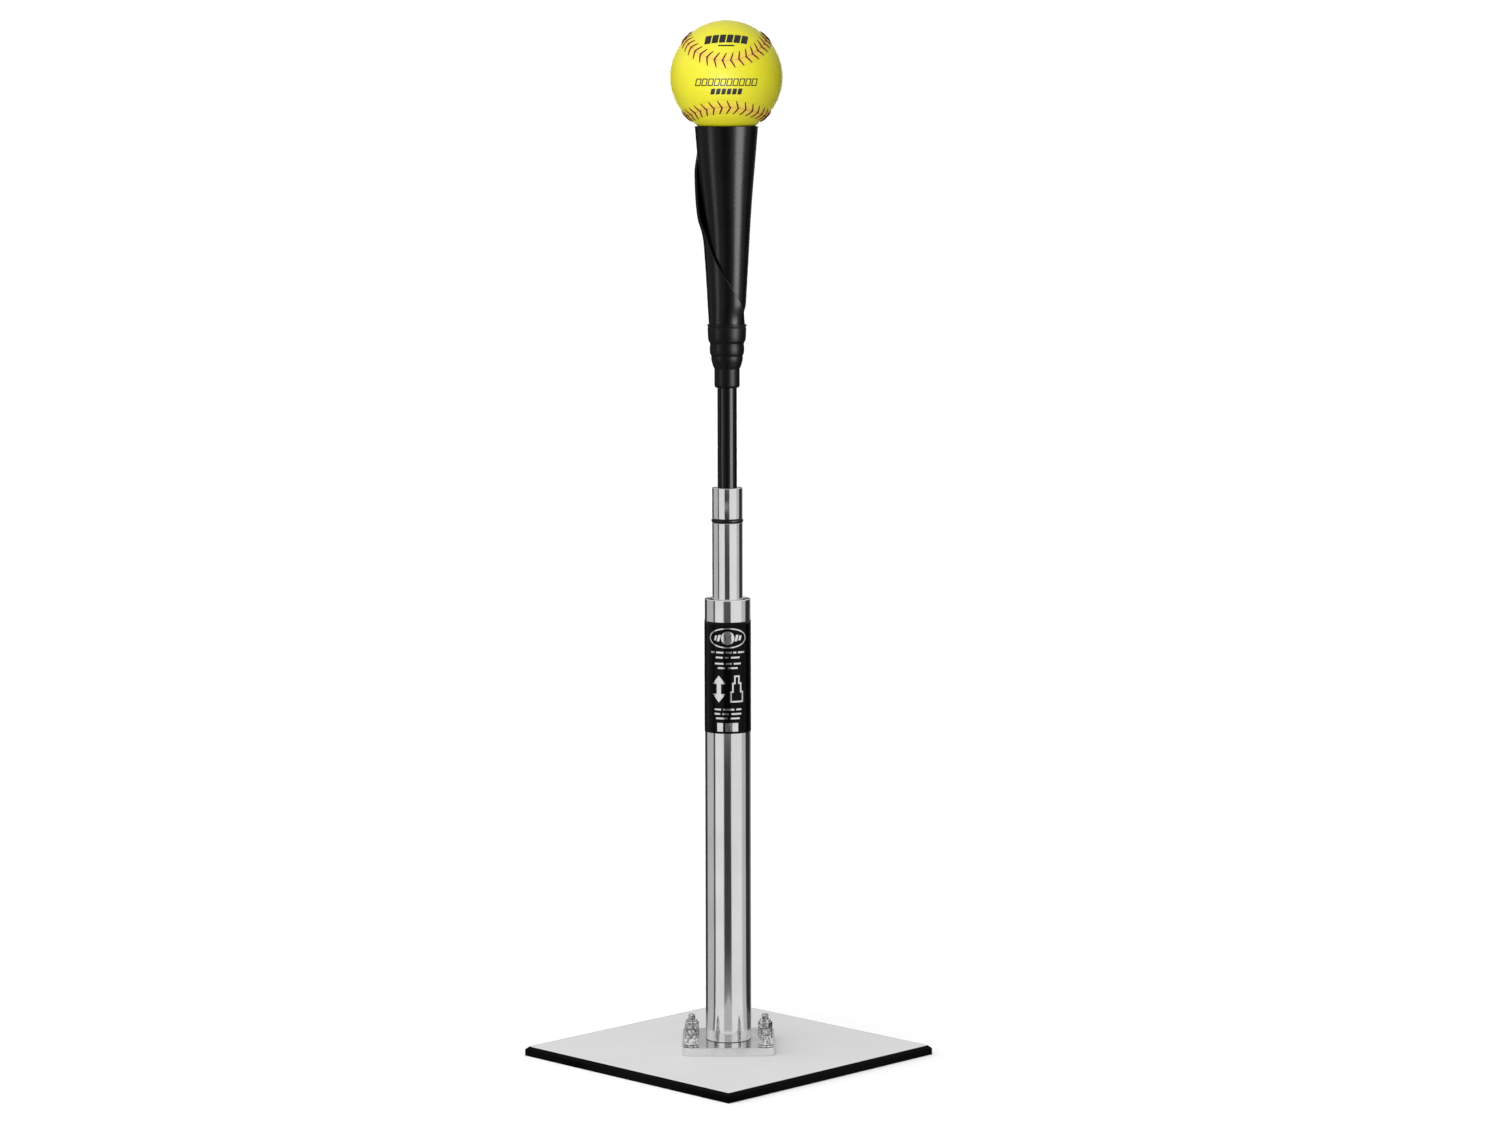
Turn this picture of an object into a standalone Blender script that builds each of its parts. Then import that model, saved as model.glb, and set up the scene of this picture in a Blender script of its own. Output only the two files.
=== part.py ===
"""A telescoping batting tee with a softball on its rolled rubber cone.

Frame: metres, +Z up, origin on the floor under the stem, base sides along X and Y.
A square steel plate lies in a rubber mat. A flange, bolted on at 45 degrees, carries the outer
tube. A middle tube and a black top shaft slide and turn in it on friction rings. A stepped rubber
sleeve joins the shaft to a cone, which is one rubber sheet rolled up with a loose outer edge.
"""

import math

import bmesh
import bpy
from mathutils import Matrix, Vector

MM = 0.001
FACETS = 36  # round every turned piece
BOLT_FACETS = 16
SEAT = 0.2 * MM  # gap where one piece rests on another
STEM_TURN = math.radians(45)  # the flange and the cone's seam, turned from the base

# Base
BASE_SIDE = 254 * MM
MAT_FLOOR = 2.0 * MM
PLATE_THICKNESS = 6.0 * MM
PLATE_BOTTOM = MAT_FLOOR + SEAT
PLATE_TOP = PLATE_BOTTOM + PLATE_THICKNESS
MAT_CHAMFER = 2.6 * MM
MAT_LIP = 0.2 * MM  # flat left on the mat's rim
MAT_WELL_SIDE = BASE_SIDE - 2 * (MAT_CHAMFER + MAT_LIP)
PLATE_SIDE = MAT_WELL_SIDE - 2 * SEAT
MAT_HOLE_RADIUS = 7.0 * MM

# Flange and its fasteners
FLANGE_SIDE = 81 * MM
FLANGE_CORNER = 7 * MM
FLANGE_BOTTOM = PLATE_TOP + SEAT
FLANGE_TOP = FLANGE_BOTTOM + 7.0 * MM
BOLT_SPACING = 65.2 * MM
BOLT_RADIUS = 3.15 * MM
BOLT_HOLE_RADIUS = 3.5 * MM
BOLT_HEAD_RADIUS = 6.2 * MM
BOLT_TIP = 0.6 * MM
WASHER_RADIUS = 6.7 * MM
WASHER_THICKNESS = 1.4 * MM
NUT_FLATS = 11.1 * MM
NUT_HEX_HEIGHT = 5.8 * MM
NUT_HEIGHT = 8.0 * MM
NUT_COLLAR_RADIUS = 5.0 * MM
NUT_BORE_RADIUS = 3.4 * MM
WASHER_BOTTOM = FLANGE_TOP + SEAT
NUT_BOTTOM = WASHER_BOTTOM + WASHER_THICKNESS + SEAT
BOLT_TOP = NUT_BOTTOM + NUT_HEIGHT + 4.6 * MM
NUT_TURNS = [math.radians(angle) for angle in (8, 34, 17, 49)]

# Outer tube
OUTER_RADIUS = 20.0 * MM
OUTER_BORE = 17.0 * MM
OUTER_TOP = 406 * MM
OUTER_BUSH_TOP = OUTER_TOP - 1.6 * MM
OUTER_BUSH_LENGTH = 55 * MM
LABEL_BOTTOM = 289.5 * MM
LABEL_TOP = 387 * MM
LABEL_THICKNESS = 0.3 * MM

# Middle tube
MIDDLE_RADIUS = 13.25 * MM
MIDDLE_BORE = 10.5 * MM
MIDDLE_BOTTOM = 150 * MM
MIDDLE_TOP = 503 * MM
MIDDLE_BUSH_TOP = MIDDLE_TOP - 1.5 * MM
MIDDLE_BUSH_LENGTH = 33.5 * MM
MIDDLE_PISTON_TOP = 212 * MM
STOP_RING_HEIGHT = 474.3 * MM
STOP_RING_SECTION = 3.2 * MM
STOP_RING_RADIUS = 14.0 * MM
STOP_GROOVE_RADIUS = 11.75 * MM

# Top shaft
SHAFT_RADIUS = 8.5 * MM
SHAFT_BORE = 6.5 * MM
SHAFT_BOTTOM = 280 * MM
SHAFT_TOP = 604 * MM
SHAFT_PISTON_TOP = 327.7 * MM

# Rubber sleeve, as (height, outer radius)
SLEEVE_BOTTOM = 589.6 * MM
SLEEVE_TOP = 645 * MM
SLEEVE_OUTSIDE = [
    (589.6, 11.0),
    (605.5, 11.1),
    (608.0, 11.8),
    (611.6, 12.9),
    (614.5, 13.5),
    (616.9, 14.0),
    (622.0, 14.6),
    (626.0, 14.9),
    (629.0, 15.6),
    (631.5, 16.1),
    (636.0, 16.4),
    (643.4, 16.8),
    (645.0, 17.0),
]
SLEEVE_CLEARANCE = 0.4 * MM  # round the rolled root of the cone

# Rolled cone
CONE_BOTTOM = 616 * MM
CONE_MOUTH = 645 * MM  # where it leaves the sleeve
CONE_TOP = 815.4 * MM
SHEET_THICKNESS = 2.5 * MM
SHEET_STEP = SHEET_THICKNESS + 0.4 * MM  # from one layer of the roll to the next
SHEET_START = math.radians(-505)  # the hidden inner edge, counted from the front
SHEET_RAMP = math.radians(80)  # turn in which the sheet climbs onto its first layer
SHEET_ALONG = 52
SHEET_UP = 12

# Softball
BALL_RADIUS = 48.5 * MM
BALL_HEIGHT = 857.4 * MM


def smooth_step(value):
    """0 below 0, 1 above 1, and an even curve between them."""
    value = min(1.0, max(0.0, value))
    return value * value * (3 - 2 * value)


def clear_scene():
    for old in list(bpy.data.objects):
        bpy.data.objects.remove(old, do_unlink=True)


def make_material(name, colour, roughness, metallic):
    material = bpy.data.materials.new(name)
    material.use_nodes = True
    shader = material.node_tree.nodes["Principled BSDF"]
    shader.inputs["Base Color"].default_value = (*colour, 1.0)
    shader.inputs["Roughness"].default_value = roughness
    shader.inputs["Metallic"].default_value = metallic
    return material


def make_materials():
    return {
        "plate": make_material("silver_plate", (0.70, 0.70, 0.70), 0.45, 0.6),
        "mat": make_material("mat_rubber", (0.012, 0.012, 0.012), 0.75, 0.0),
        "steel": make_material("polished_steel", (0.78, 0.78, 0.78), 0.18, 1.0),
        "zinc": make_material("zinc_fastener", (0.72, 0.72, 0.72), 0.25, 1.0),
        "nylon": make_material("black_nylon", (0.02, 0.02, 0.02), 0.5, 0.0),
        "shaft": make_material("black_shaft", (0.015, 0.015, 0.015), 0.25, 0.4),
        "rubber": make_material("cone_rubber", (0.018, 0.018, 0.018), 0.45, 0.0),
        "label": make_material("label_vinyl", (0.01, 0.01, 0.01), 0.3, 0.0),
        "ball": make_material("ball_leather", (0.80, 0.82, 0.03), 0.5, 0.0),
    }


def add_piece(name, mesh, material, location=(0, 0, 0), turn=0.0, parent=None):
    """A named object for one piece, from a bmesh that it uses up."""
    bmesh.ops.recalc_face_normals(mesh, faces=mesh.faces)
    data = bpy.data.meshes.new(name)
    mesh.to_mesh(data)
    mesh.free()
    data.materials.append(material)
    data.shade_smooth()
    data.set_sharp_from_angle(angle=math.radians(35))
    piece = bpy.data.objects.new(name, data)
    piece.location = location
    piece.rotation_euler = (0, 0, turn)
    piece.parent = parent
    bpy.context.scene.collection.objects.link(piece)
    return piece


def add_frame(name, height=0.0, turn=0.0, parent=None):
    """An empty on the stem's axis, which the pieces of one moving group hang on."""
    frame = bpy.data.objects.new(name, None)
    frame.location = (0, 0, height)
    frame.rotation_euler = (0, 0, turn)
    frame.parent = parent
    bpy.context.scene.collection.objects.link(frame)
    return frame


def spun(profile, facets=FACETS):
    """A solid of revolution about Z, from a closed outline of (radius, height) points."""
    mesh = bmesh.new()
    corners = [mesh.verts.new((radius, 0, height)) for radius, height in profile]
    edges = [mesh.edges.new((a, b)) for a, b in zip(corners, corners[1:] + corners[:1])]
    bmesh.ops.spin(
        mesh,
        geom=corners + edges,
        cent=(0, 0, 0),
        axis=(0, 0, 1),
        angle=2 * math.pi,
        steps=facets,
        use_merge=True,
    )
    bmesh.ops.remove_doubles(mesh, verts=mesh.verts, dist=1e-6)
    on_axis = [e for e in mesh.edges if all(math.hypot(v.co.x, v.co.y) < 1e-6 for v in e.verts)]
    bmesh.ops.delete(mesh, geom=on_axis, context="EDGES")
    return mesh


def ring_profile(inner, outer, bottom, top, bevel=0.0):
    """The outline of a tube, with its four corners bevelled."""
    if not bevel:
        return [(inner, bottom), (outer, bottom), (outer, top), (inner, top)]
    return [
        (inner, bottom + bevel),
        (inner + bevel, bottom),
        (outer - bevel, bottom),
        (outer, bottom + bevel),
        (outer, top - bevel),
        (outer - bevel, top),
        (inner + bevel, top),
        (inner, top - bevel),
    ]


def round_section(inner, outer, middle, half_height):
    """Six points round the section of a rubber ring."""
    centre = (inner + outer) / 2
    quarter = (outer - inner) / 4
    return [
        (inner, middle),
        (centre - quarter, middle - half_height),
        (centre + quarter, middle - half_height),
        (outer, middle),
        (centre + quarter, middle + half_height),
        (centre - quarter, middle + half_height),
    ]


def block(side, bottom, top, corner=0.0):
    """A square plate on Z, with its four upright edges rounded."""
    mesh = bmesh.new()
    bmesh.ops.create_cube(mesh, size=1.0)
    bmesh.ops.scale(mesh, vec=(side, side, top - bottom), verts=mesh.verts)
    bmesh.ops.translate(mesh, vec=(0, 0, (top + bottom) / 2), verts=mesh.verts)
    if corner:
        upright = [e for e in mesh.edges if abs(e.verts[0].co.z - e.verts[1].co.z) > (top - bottom) / 2]
        bmesh.ops.bevel(mesh, geom=upright, offset=corner, segments=5, profile=0.5, affect="EDGES")
    return mesh


def cut(piece, cutter, operation="DIFFERENCE"):
    """Applies another object to a piece through a Boolean modifier, and hides that object."""
    modifier = piece.modifiers.new(cutter.name, "BOOLEAN")
    modifier.operation = operation
    modifier.object = cutter
    modifier.solver = "EXACT"
    cutter.hide_render = True
    cutter.display_type = "WIRE"


def fastener_places():
    half = BOLT_SPACING / 2
    return [(-half, -half), (half, -half), (half, half), (-half, half)]


def square_tray(levels):
    """A solid bounded by square loops, given as (side, height) from the underside to the well."""
    mesh = bmesh.new()
    loops = []
    for side, height in levels:
        half = side / 2
        corners = ((-half, -half), (half, -half), (half, half), (-half, half))
        loops.append([mesh.verts.new((x, y, height)) for x, y in corners])
    for low, high in zip(loops, loops[1:]):
        for i in range(4):
            j = (i + 1) % 4
            mesh.faces.new((low[i], low[j], high[j], high[i]))
    mesh.faces.new(loops[0])
    mesh.faces.new(loops[-1])
    return mesh


def add_base(materials):
    """The rubber mat with its chamfered rim, and the steel plate that lies in it."""
    levels = [
        (BASE_SIDE, 0),
        (BASE_SIDE, PLATE_TOP - MAT_CHAMFER),
        (BASE_SIDE - 2 * MAT_CHAMFER, PLATE_TOP),
        (MAT_WELL_SIDE, PLATE_TOP),
        (MAT_WELL_SIDE, MAT_FLOOR),
    ]
    mat = add_piece("base_mat", square_tray(levels), materials["mat"])
    plate_mesh = block(PLATE_SIDE, PLATE_BOTTOM, PLATE_TOP)
    plate = add_piece("base_plate", plate_mesh, materials["plate"])
    turned_frame = add_frame("fastener_frame", turn=STEM_TURN)
    sink_top = PLATE_BOTTOM + BOLT_HEAD_RADIUS + SEAT - BOLT_RADIUS
    sink = [
        (0, -MM),
        (BOLT_HEAD_RADIUS + 1.5 * SEAT, -MM),
        (BOLT_HEAD_RADIUS + 1.5 * SEAT, PLATE_BOTTOM),
        (BOLT_HOLE_RADIUS, sink_top),
        (BOLT_HOLE_RADIUS, PLATE_TOP + MM),
        (0, PLATE_TOP + MM),
    ]
    access = [(0, -MM), (MAT_HOLE_RADIUS, -MM), (MAT_HOLE_RADIUS, PLATE_BOTTOM), (0, PLATE_BOTTOM)]
    for number, (x, y) in enumerate(fastener_places(), 1):
        place = {"location": (x, y, 0), "parent": turned_frame}
        plate_cutter = add_piece(f"plate_cutter_{number}", spun(sink, BOLT_FACETS), materials["plate"], **place)
        cut(plate, plate_cutter)
        mat_cutter = add_piece(f"mat_cutter_{number}", spun(access, BOLT_FACETS), materials["mat"], **place)
        cut(mat, mat_cutter)


def add_flange(materials, stem):
    """The square flange: a bore for the outer tube and a bolt hole near each corner."""
    flange_mesh = block(FLANGE_SIDE, FLANGE_BOTTOM, FLANGE_TOP, FLANGE_CORNER)
    flange = add_piece("stem_flange", flange_mesh, materials["steel"], parent=stem)
    bore_radius = OUTER_RADIUS + SEAT
    low, high = FLANGE_BOTTOM - MM, FLANGE_TOP + MM
    bore = [(0, low), (bore_radius, low), (bore_radius, high), (0, high)]
    cut(flange, add_piece("flange_bore", spun(bore), materials["steel"], parent=stem))
    hole = [(0, low), (BOLT_HOLE_RADIUS, low), (BOLT_HOLE_RADIUS, high), (0, high)]
    for number, (x, y) in enumerate(fastener_places(), 1):
        name = f"flange_hole_{number}"
        place = {"location": (x, y, 0), "parent": stem}
        cut(flange, add_piece(name, spun(hole, BOLT_FACETS), materials["steel"], **place))


def add_fasteners(materials, stem):
    """A countersunk bolt from below, a washer and a lock nut at each corner of the flange."""
    head_bottom = PLATE_BOTTOM + 0.5 * SEAT
    bolt = [
        (0, head_bottom),
        (BOLT_HEAD_RADIUS, head_bottom),
        (BOLT_RADIUS, head_bottom + BOLT_HEAD_RADIUS - BOLT_RADIUS),
        (BOLT_RADIUS, BOLT_TOP - BOLT_TIP),
        (BOLT_RADIUS - BOLT_TIP, BOLT_TOP),
        (0, BOLT_TOP),
    ]
    washer_top = WASHER_BOTTOM + WASHER_THICKNESS
    washer = ring_profile(BOLT_HOLE_RADIUS, WASHER_RADIUS, WASHER_BOTTOM, washer_top)
    for number, (x, y) in enumerate(fastener_places(), 1):
        place = {"location": (x, y, 0), "parent": stem}
        add_piece(f"flange_bolt_{number}", spun(bolt, BOLT_FACETS), materials["zinc"], **place)
        add_piece(f"flange_washer_{number}", spun(washer, BOLT_FACETS), materials["zinc"], **place)
        add_nut(number, (x, y), materials["zinc"], stem)


def add_nut(number, place, material, stem):
    """A hexagon with a chamfered crown and the round collar that holds its locking insert."""
    corner = NUT_FLATS / 2 / math.cos(math.radians(30))
    x, y = place
    hexagon = bmesh.new()
    bmesh.ops.create_cone(
        hexagon, cap_ends=True, segments=6, radius1=corner, radius2=corner, depth=NUT_HEX_HEIGHT
    )
    middle = NUT_BOTTOM + NUT_HEX_HEIGHT / 2
    bmesh.ops.translate(hexagon, vec=(0, 0, middle), verts=hexagon.verts)
    turn = NUT_TURNS[number - 1]
    at = {"location": (x, y, 0), "turn": turn, "parent": stem}
    nut = add_piece(f"flange_nut_{number}", hexagon, material, **at)
    crown_top = NUT_BOTTOM + NUT_HEX_HEIGHT
    crown = [
        (0, NUT_BOTTOM - MM),
        (corner + MM, NUT_BOTTOM - MM),
        (corner + MM, crown_top - 2.0 * MM),
        (NUT_FLATS / 2 - 0.2 * MM, crown_top + 0.1 * MM),
        (0, crown_top + 0.1 * MM),
    ]
    cut(nut, add_piece(f"nut_crown_{number}", spun(crown, BOLT_FACETS), material, **at), "INTERSECT")
    nut_top = NUT_BOTTOM + NUT_HEIGHT
    collar = [
        (0, crown_top - MM),
        (NUT_COLLAR_RADIUS, crown_top - MM),
        (NUT_COLLAR_RADIUS, nut_top - 1.2 * MM),
        (NUT_COLLAR_RADIUS - 0.9 * MM, nut_top),
        (0, nut_top),
    ]
    cut(nut, add_piece(f"nut_collar_{number}", spun(collar, BOLT_FACETS), material, **at), "UNION")
    low, high = NUT_BOTTOM - MM, nut_top + MM
    bore = [(0, low), (NUT_BORE_RADIUS, low), (NUT_BORE_RADIUS, high), (0, high)]
    cut(nut, add_piece(f"nut_bore_{number}", spun(bore, BOLT_FACETS), material, **at))


def add_outer_tube(materials, stem):
    """The tube in the flange, the nylon bush in its mouth and the label round it."""
    tube = ring_profile(OUTER_BORE, OUTER_RADIUS, FLANGE_BOTTOM, OUTER_TOP, 0.5 * MM)
    add_piece("outer_tube", spun(tube), materials["steel"], parent=stem)
    bush_bottom = OUTER_BUSH_TOP - OUTER_BUSH_LENGTH
    bush = ring_profile(MIDDLE_RADIUS + 0.3 * MM, OUTER_BORE - SEAT, bush_bottom, OUTER_BUSH_TOP, 0.4 * MM)
    add_piece("outer_tube_bush", spun(bush), materials["nylon"], parent=stem)
    inside = OUTER_RADIUS + 0.1 * MM
    label = ring_profile(inside, inside + LABEL_THICKNESS, LABEL_BOTTOM, LABEL_TOP)
    add_piece("label", spun(label), materials["label"], parent=stem)


def piston_profile(tube_radius, outer, bottom, top, lip_inner, grooves, groove_radius, half_groove):
    """A sleeve on a tube's lower end, with a lip under the tube and a groove for each ring."""
    inner = tube_radius + 0.15 * MM
    points = [(lip_inner, bottom), (outer, bottom)]
    for middle in grooves:
        low, high = middle - half_groove, middle + half_groove
        points += [(outer, low), (groove_radius, low), (groove_radius, high), (outer, high)]
    points += [(outer, top), (inner, top)]
    lip_top = bottom + 1.8 * MM
    return points + [(inner, lip_top), (lip_inner, lip_top)]


def add_middle_stage(materials, rings, stage):
    """The middle tube with its stop ring and bush, and the ringed piston that it slides on."""
    low = STOP_RING_HEIGHT - STOP_RING_SECTION / 2 - SEAT
    high = STOP_RING_HEIGHT + STOP_RING_SECTION / 2 + SEAT
    tube = [
        (MIDDLE_BORE, MIDDLE_BOTTOM),
        (MIDDLE_RADIUS, MIDDLE_BOTTOM),
        (MIDDLE_RADIUS, low),
        (STOP_GROOVE_RADIUS, low),
        (STOP_GROOVE_RADIUS, high),
        (MIDDLE_RADIUS, high),
        (MIDDLE_RADIUS, MIDDLE_TOP - 0.5 * MM),
        (MIDDLE_RADIUS - 0.5 * MM, MIDDLE_TOP),
        (MIDDLE_BORE, MIDDLE_TOP),
    ]
    add_piece("middle_tube", spun(tube), materials["steel"], parent=stage)
    stop = round_section(
        STOP_GROOVE_RADIUS + SEAT, STOP_RING_RADIUS, STOP_RING_HEIGHT, STOP_RING_SECTION / 2
    )
    add_piece("stop_ring", spun(stop), materials["rubber"], parent=stage)
    bush_bottom = MIDDLE_BUSH_TOP - MIDDLE_BUSH_LENGTH
    bush = ring_profile(SHAFT_RADIUS + 0.25 * MM, MIDDLE_BORE - SEAT, bush_bottom, MIDDLE_BUSH_TOP, 0.3 * MM)
    add_piece("middle_tube_bush", spun(bush), materials["nylon"], parent=stage)
    bottom = MIDDLE_BOTTOM - 2 * MM
    ring_heights = [bottom + 12 * MM, MIDDLE_PISTON_TOP - 12 * MM]
    floor = OUTER_BORE - 1.95 * MM
    piston = piston_profile(
        MIDDLE_RADIUS, OUTER_BORE - 0.3 * MM, bottom, MIDDLE_PISTON_TOP, 11 * MM, ring_heights, floor, 1.5 * MM
    )
    add_piece("middle_piston", spun(piston), materials["nylon"], parent=stage)
    for number, height in enumerate(ring_heights, 1):
        section = round_section(floor + 0.2 * MM, OUTER_BORE - 0.13 * MM, height, 1.3 * MM)
        add_piece(f"middle_friction_ring_{number}", spun(section), materials["rubber"], parent=rings)


def add_top_stage(materials, rings, stage):
    """The black shaft, its ringed piston and the stepped rubber sleeve on its end."""
    shaft = ring_profile(SHAFT_BORE, SHAFT_RADIUS, SHAFT_BOTTOM, SHAFT_TOP, 0.4 * MM)
    add_piece("top_shaft", spun(shaft), materials["shaft"], parent=stage)
    bottom = SHAFT_BOTTOM - 2 * MM
    ring_heights = [bottom + 10 * MM, SHAFT_PISTON_TOP - 10 * MM]
    floor = MIDDLE_BORE - 1.3 * MM
    piston = piston_profile(
        SHAFT_RADIUS, MIDDLE_BORE - 0.25 * MM, bottom, SHAFT_PISTON_TOP, 7 * MM, ring_heights, floor, 1.2 * MM
    )
    add_piece("shaft_piston", spun(piston), materials["nylon"], parent=stage)
    for number, height in enumerate(ring_heights, 1):
        section = round_section(floor + 0.15 * MM, MIDDLE_BORE - 0.1 * MM, height, MM)
        add_piece(f"shaft_friction_ring_{number}", spun(section), materials["rubber"], parent=rings)
    outside = [(radius * MM, height * MM) for height, radius in SLEEVE_OUTSIDE]
    grip = SHAFT_RADIUS + SEAT
    floor_of_cup = CONE_BOTTOM - 2 * MM
    inside = [
        (roll_reach(SLEEVE_TOP) + SLEEVE_CLEARANCE, SLEEVE_TOP),
        (roll_reach(CONE_BOTTOM) + SLEEVE_CLEARANCE, CONE_BOTTOM),
        (roll_reach(CONE_BOTTOM) + SLEEVE_CLEARANCE, floor_of_cup),
        (SHAFT_BORE, floor_of_cup - 4 * MM),
        (SHAFT_BORE, SHAFT_TOP + SEAT),
        (grip, SHAFT_TOP + SEAT),
        (grip, SLEEVE_BOTTOM),
    ]
    add_piece("rubber_sleeve", spun(outside + inside), materials["rubber"], parent=stage)


def cone_radius(height):
    """The roll's outer radius: squeezed in the sleeve, then opening with a slight flare."""
    if height < CONE_MOUTH:
        return 15.7 * MM - 0.13 * (CONE_MOUTH - height)
    up = (height - CONE_MOUTH) / (CONE_TOP - CONE_MOUTH)
    return (15.7 + 9.07 * up + 2.63 * up * up) * MM


def free_edge_angle(height):
    """Where the sheet's outer edge lies: it winds from the right of the root round to the left."""
    up = (height - 660 * MM) / (CONE_TOP - 660 * MM)
    angle = -120 + 166 * max(0.0, 1 - up) ** 2.2
    return math.radians(min(85.0, angle))


def edge_lift(height):
    """How far the sheet's outer edge stands off the layer under it."""
    return 3.6 * MM * smooth_step((height - 712 * MM) / (25 * MM)) * smooth_step((800 * MM - height) / (26 * MM))


def sheet_point(along, height, depth):
    """A point of the rolled sheet: along it from 0 to 1, at a height, and at a depth in it."""
    edge = free_edge_angle(height)
    angle = SHEET_START + along * (edge - SHEET_START)
    climb_end = SHEET_START + 2 * math.pi
    climb = smooth_step((angle - climb_end + SHEET_RAMP) / SHEET_RAMP)
    doubled = 1 - smooth_step((height - 725 * MM) / (75 * MM))
    span = edge - climb_end + SHEET_RAMP / 2  # turn over which the sheet lies on itself
    uneven = smooth_step((height - 648 * MM) / (14 * MM))  # below, the turns meet all the way round
    first = cone_radius(height) - doubled * SHEET_STEP * (1 - uneven / 2)
    loose = max(0.0, 1 - (edge - angle) / math.radians(75)) ** 2
    radius = first + SHEET_STEP * climb + edge_lift(height) * loose - depth
    shift = doubled * uneven * SHEET_STEP / 2  # centres the roll under its doubled side
    middle = edge - span / 2
    centre = Vector((-shift * math.sin(middle), shift * math.cos(middle), 0))
    return centre + Vector((radius * math.sin(angle), -radius * math.cos(angle), height))


def roll_reach(height):
    """The largest distance of the rolled sheet from the stem's axis."""
    points = [sheet_point(step / SHEET_ALONG, height, 0) for step in range(SHEET_ALONG + 1)]
    return max(math.hypot(point.x, point.y) for point in points)


def add_rolled_cone(materials, cone):
    """One rubber sheet, rolled one and a half times at its root and once at its rim."""
    mesh = bmesh.new()
    heights = [CONE_BOTTOM + (CONE_TOP - CONE_BOTTOM) * row / SHEET_UP for row in range(SHEET_UP + 1)]
    steps = [column / SHEET_ALONG for column in range(SHEET_ALONG + 1)]
    sides = []
    for depth in (0.0, SHEET_THICKNESS):
        grid = [[mesh.verts.new(sheet_point(step, height, depth)) for step in steps] for height in heights]
        sides.append(grid)
    outer, inner = sides
    for row in range(SHEET_UP):
        for column in range(SHEET_ALONG):
            for grid in sides:
                low, high = grid[row], grid[row + 1]
                mesh.faces.new((low[column], low[column + 1], high[column + 1], high[column]))
        for column in (0, SHEET_ALONG):
            mesh.faces.new((outer[row][column], outer[row + 1][column], inner[row + 1][column], inner[row][column]))
    for row in (0, SHEET_UP):
        for column in range(SHEET_ALONG):
            a, b = outer[row][column], outer[row][column + 1]
            mesh.faces.new((a, b, inner[row][column + 1], inner[row][column]))
    bmesh.ops.translate(mesh, vec=(0, 0, -cone.location.z), verts=mesh.verts)
    add_piece("rolled_cone", mesh, materials["rubber"], parent=cone)


def add_softball(materials, ball):
    mesh = bmesh.new()
    bmesh.ops.create_icosphere(mesh, subdivisions=4, radius=BALL_RADIUS)
    add_piece("softball", mesh, materials["ball"], parent=ball)


def main():
    clear_scene()
    materials = make_materials()
    add_base(materials)
    stem = add_frame("stem_frame", turn=STEM_TURN)
    add_flange(materials, stem)
    add_fasteners(materials, stem)
    add_outer_tube(materials, stem)
    middle_rings = add_frame("middle_slide_frame", parent=stem)
    middle_stage = add_frame("middle_turn_frame", parent=middle_rings)
    add_middle_stage(materials, middle_rings, middle_stage)
    top_rings = add_frame("top_slide_frame", parent=middle_stage)
    top_stage = add_frame("top_turn_frame", parent=top_rings)
    add_top_stage(materials, top_rings, top_stage)
    cone = add_frame("cone_flex_frame", height=622 * MM, parent=top_stage)
    add_rolled_cone(materials, cone)
    ball = add_frame("ball_lift_frame", height=BALL_HEIGHT - cone.location.z, parent=cone)
    add_softball(materials, ball)


main()
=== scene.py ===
"""The finished look of a telescoping batting tee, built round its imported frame.

Each group of pieces has an operator of its own. The tubes, the sleeve and the fasteners are turned
meshes, the mat, the plate and the flange are softened copies from the frame, and the cone, the
pattern of the fasteners and the stitches come from Geometry Nodes. Every finish is procedural.
"""

import math

import bmesh
import bpy
import numpy as np
from bpy.props import FloatProperty, FloatVectorProperty, PointerProperty
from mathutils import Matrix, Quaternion, Vector


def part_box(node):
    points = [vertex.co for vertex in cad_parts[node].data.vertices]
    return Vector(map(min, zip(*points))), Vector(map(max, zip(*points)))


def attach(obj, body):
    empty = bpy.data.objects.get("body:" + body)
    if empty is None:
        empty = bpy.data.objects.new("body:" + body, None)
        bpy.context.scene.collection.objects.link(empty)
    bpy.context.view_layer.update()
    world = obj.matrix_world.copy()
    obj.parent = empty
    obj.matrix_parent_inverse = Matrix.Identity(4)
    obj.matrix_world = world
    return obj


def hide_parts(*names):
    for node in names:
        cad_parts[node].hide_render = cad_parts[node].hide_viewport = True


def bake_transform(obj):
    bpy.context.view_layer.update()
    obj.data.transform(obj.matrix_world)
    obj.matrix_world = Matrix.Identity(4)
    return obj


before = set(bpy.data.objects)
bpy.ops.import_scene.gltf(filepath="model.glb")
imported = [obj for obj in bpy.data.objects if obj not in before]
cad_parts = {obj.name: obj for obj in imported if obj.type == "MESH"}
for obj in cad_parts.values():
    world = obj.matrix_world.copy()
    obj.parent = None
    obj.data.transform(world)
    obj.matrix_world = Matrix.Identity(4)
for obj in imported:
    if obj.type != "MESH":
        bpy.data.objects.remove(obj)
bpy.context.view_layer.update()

bl_info = {
    "name": "Batting Tee",
    "version": (1, 0, 0),
    "blender": (4, 5, 0),
    "location": "3D View > Sidebar > Tee",
    "description": "Builds a telescoping batting tee with a rolled rubber cone and a softball",
    "category": "Object",
}

MM = 0.001
MICRON = 0.000001
STEM_TURN = math.radians(45)  # how far the flange, the label and the cone are turned from the base
FRONT = Vector((math.sin(STEM_TURN), -math.cos(STEM_TURN), 0))  # the side the label faces
RIGHT = Vector((math.cos(STEM_TURN), math.sin(STEM_TURN), 0))  # the front's right hand
UP = Vector((0, 0, 1))
TURNED_SEGMENTS = 128

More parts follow.
